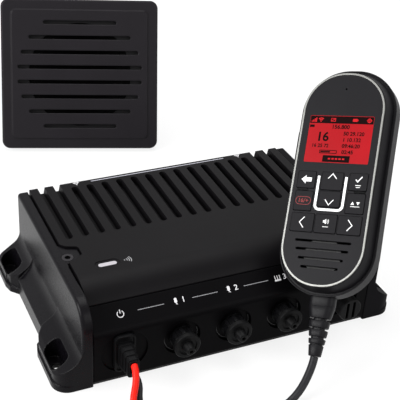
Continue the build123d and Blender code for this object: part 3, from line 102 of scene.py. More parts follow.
class NodeBuilder:
    """Small helper that lays out one material's nodes."""

    NOISE_LOW = 0.3
    NOISE_HIGH = 0.7
    GRAIN_STRENGTH = 0.6
    EDGE_SAMPLES = 6

    def __init__(self, name: str) -> None:
        """Starts an empty material.

        Args:
            name: The material's name.
        """
        self.material = bpy.data.materials.new(name)
        self.material.use_nodes = True
        self.tree = self.material.node_tree
        self.tree.nodes.clear()
        self.output = self.add("ShaderNodeOutputMaterial")
        self.shader = self.add("ShaderNodeBsdfPrincipled")
        self.link(self.shader, "BSDF", self.output, "Surface")
        self.place = self.add("ShaderNodeTexCoord")

    def add(self, kind: str, **values: object) -> bpy.types.Node:
        """Adds a node and sets its attributes.

        Args:
            kind: The node's class name.
            values: Attributes to set on it.

        Returns:
            The new node.
        """
        node = self.tree.nodes.new(kind)
        for key, value in values.items():
            setattr(node, key, value)
        return node

    def link(
        self, source: bpy.types.Node, output: str, target: bpy.types.Node, socket: str
    ) -> None:
        """Joins one node's output to another node's input, both by their names."""
        self.tree.links.new(source.outputs[output], target.inputs[socket])

    def constants(self, values: dict[str, float]) -> None:
        """Sets numbers that are the same all over on the shader's own sockets."""
        for socket, value in values.items():
            self.shader.inputs[socket].default_value = value

    def noise(
        self, size: float, detail: float, stretch: Point = (1.0, 1.0, 1.0)
    ) -> bpy.types.Node:
        """Adds noise whose cells are about this wide on the object.

        Args:
            size: Cell width in metres.
            detail: Octaves of finer noise.
            stretch: Scale along each axis.

        Returns:
            The noise node.
        """
        mapping = self.add("ShaderNodeMapping")
        mapping.inputs["Scale"].default_value = stretch
        self.link(self.place, "Object", mapping, "Vector")
        noise = self.add("ShaderNodeTexNoise")
        noise.inputs["Scale"].default_value = 1.0 / size
        noise.inputs["Detail"].default_value = detail
        self.link(mapping, "Vector", noise, "Vector")
        return noise

    def ramp(
        self, source: bpy.types.Node, dark: Colour, light: Colour,
        low: float = NOISE_LOW, high: float = NOISE_HIGH,
    ) -> bpy.types.Node:
        """Colours the surface between two tones of a noise.

        Args:
            source: The noise node.
            dark: The darker tone.
            light: The lighter tone.
            low: Noise value of the darker tone.
            high: Noise value of the lighter tone.

        Returns:
            The ramp node.
        """
        ramp = self.add("ShaderNodeValToRGB")
        ends = ramp.color_ramp.elements
        for end, position, colour in ((ends[0], low, dark), (ends[1], high, light)):
            end.position = position
            end.color = (*colour, 1.0)
        self.link(source, "Fac", ramp, "Fac")
        self.link(ramp, "Color", self.shader, "Base Color")
        return ramp

    def roughen(
        self, source: bpy.types.Node, sheen: Sheen, smoother: float, rougher: float
    ) -> None:
        """Lets the roughness follow a noise.

        Args:
            source: The noise node.
            sheen: The mean roughness.
            smoother: How far it falls below the mean.
            rougher: How far it rises above the mean.
        """
        spread = self.add("ShaderNodeMapRange")
        spread.inputs["From Min"].default_value = self.NOISE_LOW
        spread.inputs["From Max"].default_value = self.NOISE_HIGH
        spread.inputs["To Min"].default_value = sheen.value - smoother
        spread.inputs["To Max"].default_value = sheen.value + rougher
        self.link(source, "Fac", spread, "Value")
        self.link(spread, "Result", self.shader, "Roughness")

    def relief(self, source: bpy.types.Node, height: float, edge: float) -> None:
        """Drives the shader's normal with a grain over softly rounded edges.

        Args:
            source: The noise node of the grain.
            height: Depth of the grain in metres.
            edge: Radius of the edges in metres.
        """
        bump = self.add("ShaderNodeBump")
        bump.inputs["Strength"].default_value = self.GRAIN_STRENGTH
        bump.inputs["Distance"].default_value = height
        self.link(source, "Fac", bump, "Height")
        bevel = self.add("ShaderNodeBevel", samples=self.EDGE_SAMPLES)
        bevel.inputs["Radius"].default_value = edge
        self.link(bevel, "Normal", bump, "Normal")
        self.link(bump, "Normal", self.shader, "Normal")


@dataclass(frozen=True)
class Finish:
    """A surface's look: its name and colour, and the nodes of the frame that get it."""

    name: str
    colour: Colour
    on: tuple[str, ...] = field(default=(), kw_only=True)

    def material(self) -> bpy.types.Material:
        """Builds the material.

        Returns:
            The material.
        """
        nodes = NodeBuilder(self.name)
        self.lay_out(nodes)
        return nodes.material

    def lay_out(self, nodes: NodeBuilder) -> None:
        """Lays out the material's own nodes, in each kind of finish in its own way."""
        raise NotImplementedError


@dataclass(frozen=True)
class Coating(Finish):
    """A moulded or coated surface with a fine grain and a faint change of tone."""

    sheen: Sheen = Sheen.SATIN
    grain: float = 0.0006
    grain_depth: float = 0.00006
    tone: float = 0.12
    specular: float = 0.5
    edge: float = 0.0006
    tone_patch: float = 0.035
    smoother: float = 0.05
    rougher: float = 0.07

    def lay_out(self, nodes: NodeBuilder) -> None:
        """Lays a grain over patches of two tones.

        Args:
            nodes: The material's nodes.
        """
        dark, light = (shade(self.colour, 1.0 + change) for change in (-self.tone, self.tone))
        nodes.ramp(nodes.noise(self.tone_patch, 4.0), dark, light)
        grain = nodes.noise(self.grain, 2.0)
        nodes.roughen(grain, self.sheen, self.smoother, self.rougher)
        nodes.relief(grain, self.grain_depth, self.edge)
        nodes.constants({"Specular IOR Level": self.specular})


@dataclass(frozen=True)
class Drawn(Finish):
    """Bare metal with fine lines left by drawing or turning."""

    sheen: Sheen = Sheen.SOFT_GLOSS
    line_length: float = 0.004
    lines: Point = (1.0, 12.0, 12.0)
    line_depth: float = 0.00002
    edge: float = 0.0003
    dull: float = 0.86
    smoother: float = 0.06
    rougher: float = 0.1

    def lay_out(self, nodes: NodeBuilder) -> None:
        """Lays fine lines one way.

        Args:
            nodes: The material's nodes.
        """
        scratch = nodes.noise(self.line_length, 5.0, self.lines)
        nodes.ramp(scratch, shade(self.colour, self.dull), self.colour)
        nodes.roughen(scratch, self.sheen, self.smoother, self.rougher)
        nodes.relief(scratch, self.line_depth, self.edge)
        nodes.constants({"Metallic": 1.0})


@dataclass(frozen=True)
class Backlit(Finish):
    """A lit surface seen through clear plastic: its own light and a gloss coat."""

    glow: float
    patch: float = 0.02
    coat: float = 0.3
    specular: float = 0.5
    dull: float = 0.88
    roughness: float = 0.3
    coat_roughness: float = 0.08

    def lay_out(self, nodes: NodeBuilder) -> None:
        """Lays a glow of the surface's own colour under a clear coat.

        Args:
            nodes: The material's nodes.
        """
        dark = shade(self.colour, self.dull)
        ramp = nodes.ramp(nodes.noise(self.patch, 2.0), dark, self.colour)
        nodes.link(ramp, "Color", nodes.shader, "Emission Color")
        nodes.constants({
            "Emission Strength": self.glow, "Roughness": self.roughness,
            "Specular IOR Level": self.specular, "Coat Weight": self.coat,
            "Coat Roughness": self.coat_roughness,
        })


@dataclass(frozen=True)
class Ink(Finish):
    """Printed or moulded-in marking: flat, slightly uneven and matt."""

    glow: float = 0.0
    specular: float = 0.3
    patch: float = 0.0012
    dull: float = 0.9
    roughness: float = 0.45

    def lay_out(self, nodes: NodeBuilder) -> None:
        """Lays a worn print, which glows where it is lit.

        Args:
            nodes: The material's nodes.
        """
        worn = nodes.noise(self.patch, 3.0)
        ramp = nodes.ramp(worn, shade(self.colour, self.dull), self.colour, 0.35, 0.65)
        nodes.constants({"Roughness": self.roughness, "Specular IOR Level": self.specular})
        if self.glow:
            nodes.link(ramp, "Color", nodes.shader, "Emission Color")
            nodes.constants({"Emission Strength": self.glow})


def dress(frame: dict, *finishes: Finish) -> None:
    """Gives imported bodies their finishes.

    Args:
        finishes: The finishes, each of which names the nodes that get it.
    """
    for finish in finishes:
        material = finish.material()
        for node in finish.on:
            for holder in frame["nodes"][node].material_slots:
                holder.material = material
            LOG.info("dressed %s with %s", node, finish.name)


# ---------------------------------------- mesh helpers


# Below this cosine of half its turn, a stroke's mitred corner reaches out no further.
SHARPEST_MITRE = 0.3


@dataclass(frozen=True)
class Placement:
    """A flat working frame on the object, in which markings and small pieces are laid out."""

    origin: Vector
    across: Vector
    up: Vector

    @property
    def out(self) -> Vector:
        """The direction away from the surface."""
        return self.across.cross(self.up)

    def at(self, x: float, y: float, z: float = 0.0) -> Vector:
        """The point at these distances in metres."""
        return self.origin + self.across * x + self.up * y + self.out * z


def add_mesh(
    name: str, mesh: bmesh.types.BMesh, material: bpy.types.Material, body: str
) -> bpy.types.Object:
    """Makes an object of a finished mesh and lets it ride on a body.

    Args:
        name: The piece's name.
        mesh: The mesh, in metres in the object's own frame. It is freed.
        material: What it is made of.
        body: The body that carries it.

    Returns:
        The new object.
    """
    data = bpy.data.meshes.new(name)
    bmesh.ops.recalc_face_normals(mesh, faces=mesh.faces)
    mesh.to_mesh(data)
    mesh.free()
    piece = bpy.data.objects.new(name, data)
    bpy.context.scene.collection.objects.link(piece)
    data.materials.append(material)
    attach(piece, body)
    LOG.info("added %s on %s", name, body)
    return piece


def lay_ring(
    mesh: bmesh.types.BMesh, place: Placement, outline: Outline, level: float
) -> list[bmesh.types.BMVert]:
    """Adds an outline's corners at one height of a placement, all in millimetres."""
    return [mesh.verts.new(place.at(x * MM, y * MM, level * MM)) for x, y in outline]


def join_rings(
    mesh: bmesh.types.BMesh, low: list[bmesh.types.BMVert], high: list[bmesh.types.BMVert]
) -> None:
    """Closes the band between two rings of corners.

    Args:
        mesh: The mesh that both are in.
        low: The corners of one ring.
        high: As many corners of the other.
    """
    count = len(low)
    for i in range(count):
        j = (i + 1) % count
        mesh.faces.new([low[i], low[j], high[j], high[i]])


def raise_outline(
    mesh: bmesh.types.BMesh, place: Placement, outline: Outline, low: float, high: float
) -> None:
    """Adds a flat-topped shape standing between two heights of a placement.

    Args:
        mesh: The mesh that gets the shape.
        place: The working frame.
        outline: Corners in millimetres, anticlockwise.
        low: Height of its underside in millimetres.
        high: Height of its top in millimetres.
    """
    top = lay_ring(mesh, place, outline, high)
    bottom = lay_ring(mesh, place, outline, low)
    mesh.faces.new(top)
    mesh.faces.new(bottom[::-1])
    join_rings(mesh, bottom, top)


def bar(start: Spot, end: Spot, width: float) -> Outline:
    """Corners of a straight stroke.

    Args:
        start: One end in millimetres.
        end: The other end.
        width: Stroke width.

    Returns:
        The four corners.
    """
    dx, dy = end[0] - start[0], end[1] - start[1]
    length = math.hypot(dx, dy)
    sx, sy = -dy / length * width / 2, dx / length * width / 2
    return [
        (start[0] - sx, start[1] - sy), (end[0] - sx, end[1] - sy),
        (end[0] + sx, end[1] + sy), (start[0] + sx, start[1] + sy),
    ]


def rounded(x: float, y: float, width: float, height: float, corner: float) -> Outline:
    """Corners of a rectangle with round corners, centred on a point.

    Args:
        x: Centre across.
        y: Centre up.
        width: Full width.
        height: Full height.
        corner: Corner radius.

    Returns:
        The outline, anticlockwise.
    """
    points = []
    for quarter, (sx, sy) in enumerate(((1, -1), (1, 1), (-1, 1), (-1, -1))):
        first = 90.0 * (quarter - 1)
        cx, cy = x + sx * (width / 2 - corner), y + sy * (height / 2 - corner)
        points += arc(cx, cy, corner, first, first + 90.0, 5)
    return points


def raise_ring(
    mesh: bmesh.types.BMesh, place: Placement, outer: Outline,
    inner: Outline, low: float, high: float,
) -> None:
    """Adds a closed flat ring between two outlines of equal point count.

    Args:
        mesh: The mesh that gets the ring.
        place: The working frame.
        outer: Outer outline in millimetres.
        inner: Inner outline in millimetres.
        low: Height of its underside in millimetres.
        high: Height of its top in millimetres.
    """
    rows = [
        lay_ring(mesh, place, line, level)
        for line, level in ((outer, low), (outer, high), (inner, high), (inner, low))
    ]
    for row, after in zip(rows, rows[1:] + rows[:1]):
        join_rings(mesh, row, after)


def ribbon(points: Outline, width: float) -> Outline:
    """Outline of a bent stroke with sharp mitred corners.

    Args:
        points: The stroke's middle line in millimetres.
        width: Stroke width.

    Returns:
        The outline, anticlockwise when the stroke is seen from above.
    """
    left, right = [], []
    last = len(points) - 1
    for i, (x, y) in enumerate(points):
        before = points[max(i - 1, 0)]
        after = points[min(i + 1, last)]
        come, go = Vector((x, y)) - Vector(before), Vector(after) - Vector((x, y))
        come = (come if i else go).normalized()
        go = go.normalized() if i < last else come
        normal = Vector((-(come + go).y, (come + go).x)).normalized()
        reach = width / 2 / max(SHARPEST_MITRE, normal.dot(Vector((-come.y, come.x))))
        left.append((x + normal.x * reach, y + normal.y * reach))
        right.append((x - normal.x * reach, y - normal.y * reach))
    return right + left[::-1]


def arc(x: float, y: float, radius: float, first: float, last: float, steps: int = 10) -> Outline:
    """Points along part of a circle, between two angles in degrees."""
    angles = [math.radians(first + (last - first) * i / steps) for i in range(steps + 1)]
    return [(x + radius * math.cos(angle), y + radius * math.sin(angle)) for angle in angles]


def circle(x: float, y: float, radius: float, steps: int = 24) -> Outline:
    """Outline of a round patch."""
    return arc(x, y, radius, 0.0, 360.0, steps)[:-1]


class Printing:
    """Marks standing a hair above one surface, gathered into a single piece."""

    LETTER_SIZE = 1.38
    LETTER_STEPS = 4

    def __init__(self, name: str, place: Placement, lift: float, thickness: float = 0.06) -> None:
        """Starts an empty set of marks.

        Args:
            name: The piece's name.
            place: The surface's working frame.
            lift: Height of the surface above the frame in millimetres.
            thickness: How far the marks stand proud in millimetres.
        """
        self.name = name
        self.place = place
        self.low = lift
        self.high = lift + thickness
        self.mesh = bmesh.new()

    def patch(self, outline: Outline) -> None:
        """Adds a filled shape."""
        raise_outline(self.mesh, self.place, outline, self.low, self.high)

    def stroke(self, points: Outline, width: float) -> None:
        """Adds a bent line."""
        self.patch(ribbon(points, width))

    def ring(self, outer: Outline, inner: Outline) -> None:
        """Adds a closed band between two outlines of equal point count."""
        raise_ring(self.mesh, self.place, outer, inner, self.low, self.high)

    def figures(
        self, text: str, x: float, y: float, height: float,
        widen: float = 1.0, weight: float = 0.018,
    ) -> None:
        """Adds figures.

        Args:
            text: The figures and signs.
            x: Their middle across in millimetres.
            y: Their middle up in millimetres.
            height: Height of a figure in millimetres.
            widen: Stretch across.
            weight: How much the strokes are thickened, as a share of the height.
        """
        curve = bpy.data.curves.new(self.name + "_outline", "FONT")
        curve.body = text
        curve.align_x = "CENTER"
        curve.align_y = "CENTER"
        curve.size = height * MM * self.LETTER_SIZE
        curve.resolution_u = self.LETTER_STEPS
        curve.offset = height * MM * weight
        curve.extrude = (self.high - self.low) * MM / 2
        sketch = bpy.data.objects.new(self.name + "_outline", curve)
        bpy.context.scene.collection.objects.link(sketch)
        bpy.context.view_layer.update()
        data = bpy.data.meshes.new_from_object(sketch)
        bpy.data.objects.remove(sketch)
        bpy.data.curves.remove(curve)
        middle = self.place.at(x * MM, y * MM, (self.low + self.high) / 2 * MM)
        turn = Matrix((self.place.across, self.place.up, self.place.out)).transposed().to_4x4()
        data.transform(Matrix.Translation(middle) @ turn @ Matrix.Diagonal((widen, 1, 1, 1)))
        self.mesh.from_mesh(data)
        bpy.data.meshes.remove(data)

    def piece(self, material: bpy.types.Material, body: str, slot: str) -> None:
        """Closes the set of marks, in this material, on a body."""
        add_mesh(self.name, self.mesh, material, body)


# ---------------------------------------- studio


class SeenRays(Enum):
    """Rays for which the pale surroundings are shown as plain white."""

    CAMERA = "Is Camera Ray"
    GLOSSY = "Is Glossy Ray"
    TRANSMISSION = "Is Transmission Ray"


def show_to_eye(
    tree: bpy.types.NodeTree, share: float, plain: bpy.types.Node, shown: bpy.types.Node
) -> None:
    """Mixes two shaders, the second only for the rays that look at the surroundings.

    Args:
        tree: The floor's or world's node tree.
        share: How much of the second shader those rays get.
        plain: The first shader.
        shown: The second shader.
    """
    path = tree.nodes.new("ShaderNodeLightPath")
    total = path.outputs[SeenRays.CAMERA.value]
    for ray in (SeenRays.GLOSSY, SeenRays.TRANSMISSION):
        adding = tree.nodes.new("ShaderNodeMath")
        adding.operation = "MAXIMUM"
        tree.links.new(total, adding.inputs[0])
        tree.links.new(path.outputs[ray.value], adding.inputs[1])
        total = adding.outputs["Value"]
    scale = tree.nodes.new("ShaderNodeMath")
    scale.operation = "MULTIPLY"
    scale.inputs[1].default_value = share
    tree.links.new(total, scale.inputs[0])
    mix = tree.nodes.new("ShaderNodeMixShader")
    tree.links.new(scale.outputs["Value"], mix.inputs["Fac"])
    tree.links.new(plain.outputs[0], mix.inputs[1])
    tree.links.new(shown.outputs[0], mix.inputs[2])
    output = next(node for node in tree.nodes if "Output" in node.bl_idname)
    tree.links.new(mix.outputs["Shader"], output.inputs["Surface"])


@dataclass(frozen=True)
class Softbox:
    """A square area lamp aimed at a point."""

    name: str
    place: Point
    side: float
    watts: float
    aim: Point = (0.0, 0.0, 0.05)

    def build(self) -> None:
        """Adds the lamp."""
        data = bpy.data.lights.new(self.name, "AREA")
        data.shape = "SQUARE"
        data.size = self.side
        data.energy = self.watts
        lamp = bpy.data.objects.new(self.name, data)
        lamp.location = self.place
        way = Vector(self.aim) - Vector(self.place)
        lamp.rotation_euler = way.to_track_quat("-Z", "Y").to_euler()
        bpy.context.scene.collection.objects.link(lamp)


@dataclass
class Studio:
    """The floor, the pale surroundings, the lamps and the camera."""

    camera_place: Point = (-0.27770, -0.57325, 0.47922)
    yaw: float = 25.973
    pitch: float = 31.843
    roll: float = 3.777
    focal_pixels: float = 1010.498
    picture_pixels: float = 400.0
    sensor: float = 36.0
    floor_side: float = 8.0
    floor_tone: float = 0.86
    floor_glow: float = 1.06
    floor_white: float = 0.78
    surround: float = 0.45
    lamps: tuple[Softbox, ...] = (
        Softbox("left softbox", (-1.5, 0.0, 0.9), 0.9, 32.0),
        Softbox("top softbox", (0.1, 0.5, 1.7), 1.2, 18.0),
        Softbox("front softbox", (0.7, -1.4, 0.9), 1.0, 8.0),
    )

    def build(self) -> None:
        """Builds everything that isn't the object."""
        self.place_floor()
        self.fill_world()
        for lamp in self.lamps:
            lamp.build()
        self.place_camera()
        bpy.context.scene.view_settings.view_transform = "Standard"

    @staticmethod
    def grey(
        tree: bpy.types.NodeTree, kind: str, tone: float = 1.0, strength: float | None = None
    ) -> bpy.types.Node:
        """Adds a shader of one grey.

        Args:
            tree: The node tree that gets it.
            kind: The shader node's class name.
            tone: Its grey.
            strength: How brightly it shines, where it does.

        Returns:
            The shader node.
        """
        node = tree.nodes.new(kind)
        node.inputs["Color"].default_value = (tone, tone, tone, 1.0)
        if strength is not None:
            node.inputs["Strength"].default_value = strength
        return node

    def place_floor(self) -> None:
        """Lays the pale floor, which keeps the object's shadow."""
        mesh = bmesh.new()
        bmesh.ops.create_grid(mesh, x_segments=2, y_segments=2, size=self.floor_side / 2)
        data = bpy.data.meshes.new("floor")
        mesh.to_mesh(data)
        mesh.free()
        floor = bpy.data.objects.new("floor", data)
        bpy.context.scene.collection.objects.link(floor)
        material = bpy.data.materials.new("pale floor")
        material.use_nodes = True
        tree = material.node_tree
        tree.nodes.clear()
        tree.nodes.new("ShaderNodeOutputMaterial")
        show_to_eye(
            tree, self.floor_white, self.grey(tree, "ShaderNodeBsdfDiffuse", self.floor_tone),
            self.grey(tree, "ShaderNodeEmission", strength=self.floor_glow),
        )
        data.materials.append(material)

    def fill_world(self) -> None:
        """Sets the soft surrounding light, and the white that shows behind the object."""
        world = bpy.data.worlds.new("studio")
        bpy.context.scene.world = world
        world.use_nodes = True
        tree = world.node_tree
        tree.nodes.clear()
        tree.nodes.new("ShaderNodeOutputWorld")
        show_to_eye(
            tree, 1.0, self.grey(tree, "ShaderNodeBackground", strength=self.surround),
            self.grey(tree, "ShaderNodeBackground", strength=1.0),
        )

    def place_camera(self) -> None:
        """Sets the camera at the place and turn from which the object is seen."""
        yaw, pitch, roll = (math.radians(angle) for angle in (self.yaw, self.pitch, self.roll))
        ahead = Vector(
            (math.sin(yaw) * math.cos(pitch), math.cos(yaw) * math.cos(pitch), -math.sin(pitch))
        )
        level = Vector((math.cos(yaw), -math.sin(yaw), 0.0))
        upright = level.cross(ahead)
        right = level * math.cos(roll) + upright * math.sin(roll)
        up = upright * math.cos(roll) - level * math.sin(roll)
        data = bpy.data.cameras.new("camera")
        data.sensor_width = self.sensor
        data.lens = self.focal_pixels * self.sensor / self.picture_pixels
        camera = bpy.data.objects.new("camera", data)
        turn = Matrix((right, up, -ahead)).transposed().to_4x4()
        camera.matrix_world = Matrix.Translation(self.camera_place) @ turn
        bpy.context.scene.collection.objects.link(camera)
        bpy.context.scene.camera = camera


# ---------------------------------------- cords


class Winding(Enum):
    """Which way a coil's turns go, seen from above."""

    CLOCKWISE = -1.0
    ANTICLOCKWISE = 1.0


@dataclass
class CoiledCord:
    """A cord that runs along its route into a neat coil on the floor. Millimetres.

    The turns lie in three layers of three. A turn moves sideways or up only in its own part of
    the circle, so that neighbours stay a diameter apart. Where a body lifts its root, the cord is
    made a mesh tube.
    """

    name: str
    route: list[Point]
    centre: Spot
    first_angle: float
    winding: Winding
    turns: float
    diameter: float
    metres: float
    finish: Coating
    slot: str
    nodes: tuple[str, ...]
    far_end: str = "bare"
    tail: tuple[Point, ...] = ()
    lifted_by: str = ""
    still_from: float = -176.0
    body: str = "transceiver"
    stiffness: str = "medium"
    sector: float = 60.0
    sector_start: float = 30.0
    step: float = 15.0
    middle_turn: float = 5.5
    lift: float = 0.3
    pitch: float = 1.01
    pieces_per_point: int = 5
    quarter_steps: int = 4

    def ease(self, angle: float, place: int) -> float:
        """A smooth rise from 0 to 1 across one of the circle's sectors."""
        share = min(1.0, max(0.0, (angle - self.sector_start) / self.sector - place))
        return share * share * (3.0 - 2.0 * share)

    def column_and_layer(self, turned: float) -> Spot:
        """Where the cord is in the coil's section.

        Args:
            turned: Degrees wound so far.

        Returns:
            Columns out from the middle one, and layers up from the floor.
        """
        turn, angle = divmod(turned, 360.0)
        shift_third, rise_second, shift_second, rise_first, shift_first = (
            self.ease(angle, place) for place in range(5)
        )
        if turn < 2:
            return 1.0 - turn - shift_first, 0.0
        if turn < 3:
            return -1.0, rise_first
        if turn < 5:
            return turn - 4.0 + shift_second, 1.0
        if turn < 6:
            return 1.0, 1.0 + rise_second
        return 7.0 - turn - shift_third, 2.0

    def coil(self) -> list[Point]:
        """Points of the turns, after the route's last one.

        Returns:
            The points in millimetres.
        """
        swell = 1.0 / math.cos(math.radians(self.step) / 2)
        points = []
        for i in range(1, int(self.turns * 360.0 / self.step) + 1):
            turned = i * self.step
            column, layer = self.column_and_layer(turned)
            radius = (self.middle_turn + column * self.pitch) * self.diameter * swell
            angle = math.radians(self.first_angle + self.winding.value * turned)
            points.append((
                self.centre[0] + radius * math.cos(angle),
                self.centre[1] + radius * math.sin(angle),
                self.lift + (0.5 + layer * self.pitch) * self.diameter,
            ))
        return points

    def line(self) -> bpy.types.Curve:
        """Draws the cord as a thick curve through its route, its coil and its tail.

        Returns:
            The curve.
        """
        points = [*self.route, *self.coil(), *self.tail]
        curve = bpy.data.curves.new(self.name, "CURVE")
        curve.dimensions = "3D"
        spline = curve.splines.new("NURBS")
        spline.points.add(len(points) - 1)
        for target, point in zip(spline.points, points):
            target.co = (*(Vector(point) * MM), 1.0)
        spline.order_u = 3
        spline.use_endpoint_u = True
        curve.resolution_u = self.pieces_per_point
        curve.bevel_depth = self.diameter * MM / 2
        curve.bevel_resolution = self.quarter_steps
        curve.use_fill_caps = True
        curve.materials.append(self.finish.material())
        return curve

    def bending(self, curve: bpy.types.Curve) -> tuple[bpy.types.Object, list[Vector]]:
        """Turns the curve into a mesh tube, and takes the points of its middle line.

        Args:
            curve: The cord as a thick curve.

        Returns:
            The tube, and the points of the line that it follows.
        """
        thick = bpy.data.objects.new(self.name + "_curve", curve)
        tube = bpy.data.objects.new(self.name, bpy.data.meshes.new_from_object(thick))
        bpy.context.scene.collection.objects.link(tube)
        curve.bevel_depth = 0.0
        path = [vertex.co.copy() for vertex in bpy.data.meshes.new_from_object(thick).vertices]
        bpy.data.objects.remove(thick)
        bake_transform(tube)
        return tube, path

    def build(self, with_pieces: tuple[bpy.types.Object, ...] = ()) -> None:
        """Args:
            with_pieces: Pieces such as its connector. Not used.
        """
        curve, path = self.line(), None
        if self.lifted_by:
            cord, path = self.bending(curve)
        else:
            cord = bpy.data.objects.new(self.name, curve)
            bpy.context.scene.collection.objects.link(cord)
            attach(cord, self.body)
        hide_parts(*self.nodes)
        LOG.info("laid %s", self.name)


@dataclass
class Wiring:
    """The two power leads and the handset's cord. Millimetres."""

    frame: dict
    lead_diameter: float = 4.6
    cord_diameter: float = 5.7
    red: Coating = Coating(
        "red pvc", (0.88, 0.014, 0.006), Sheen.SATIN, 0.0009, 0.00003, 0.05, 0.14
    )
    black: Coating = Coating(
        "black pvc", (0.008, 0.008, 0.009), Sheen.SATIN, 0.0009, 0.00003, specular=0.2
    )
    jacket: Coating = Coating(
        "cord jacket", (0.012, 0.012, 0.014), Sheen.SATIN, 0.0012, 0.00005, specular=0.2
    )
    moulding: Coating = Coating(
        "connector moulding", (0.01, 0.01, 0.011), specular=0.2, on=("handset_connector",)
    )

    def build(self) -> None:
        """Lays all three."""
        CoiledCord(
            "red_power_lead",
            [
                (-86.2, -97.0, 28.4), (-87.1, -105.6, 26.6), (-93.8, -113.5, 10.5),
                (-103.5, -145.0, 2.6), (-105.1, -165.0, 2.6),
            ],
            (-135.0, -165.0), 0.0, Winding.CLOCKWISE, 9.0, self.lead_diameter, 1.46,
            self.red, "red_lead", ("red_lead", "red_coil"),
        ).build()
        CoiledCord(
            "black_power_lead",
            [
                (-86.2, -97.0, 21.6), (-84.6, -105.0, 19.8), (-88.2, -111.0, 8.0),
                (-91.5, -150.0, 2.6), (-91.9, -176.0, 2.6),
            ],
            (-62.0, -176.0), 180.0, Winding.ANTICLOCKWISE, 9.0, self.lead_diameter, 1.47,
            self.black, "black_lead", ("black_lead", "black_coil"),
        ).build()
        dress(self.frame, self.moulding)
        CoiledCord(
            "handset_wire",
            [
                (35.7, -126.4, 23.2), (31.8, -131.0, 17.5), (17.5, -139.5, 4.2),
                (-5.0, -148.0, 3.2), (-19.0, -172.0, 3.2), (-23.0, -196.0, 3.2),
                (-23.05, -218.0, 3.2),
            ],
            (14.0, -218.0), 180.0, Winding.ANTICLOCKWISE, 8.5, self.cord_diameter, 1.81,
            self.jacket, "cord", ("handset_cord", "handset_coil"), far_end="connector",
            tail=(
                (39.9, -209.0, 16.5), (38.0, -202.0, 21.5), (32.0, -197.0, 25.0),
                (22.0, -195.9, 25.8),
            ),
            lifted_by="handset",
        ).build(tuple(self.frame["nodes"][node] for node in self.moulding.on))


# ---------------------------------------- transceiver


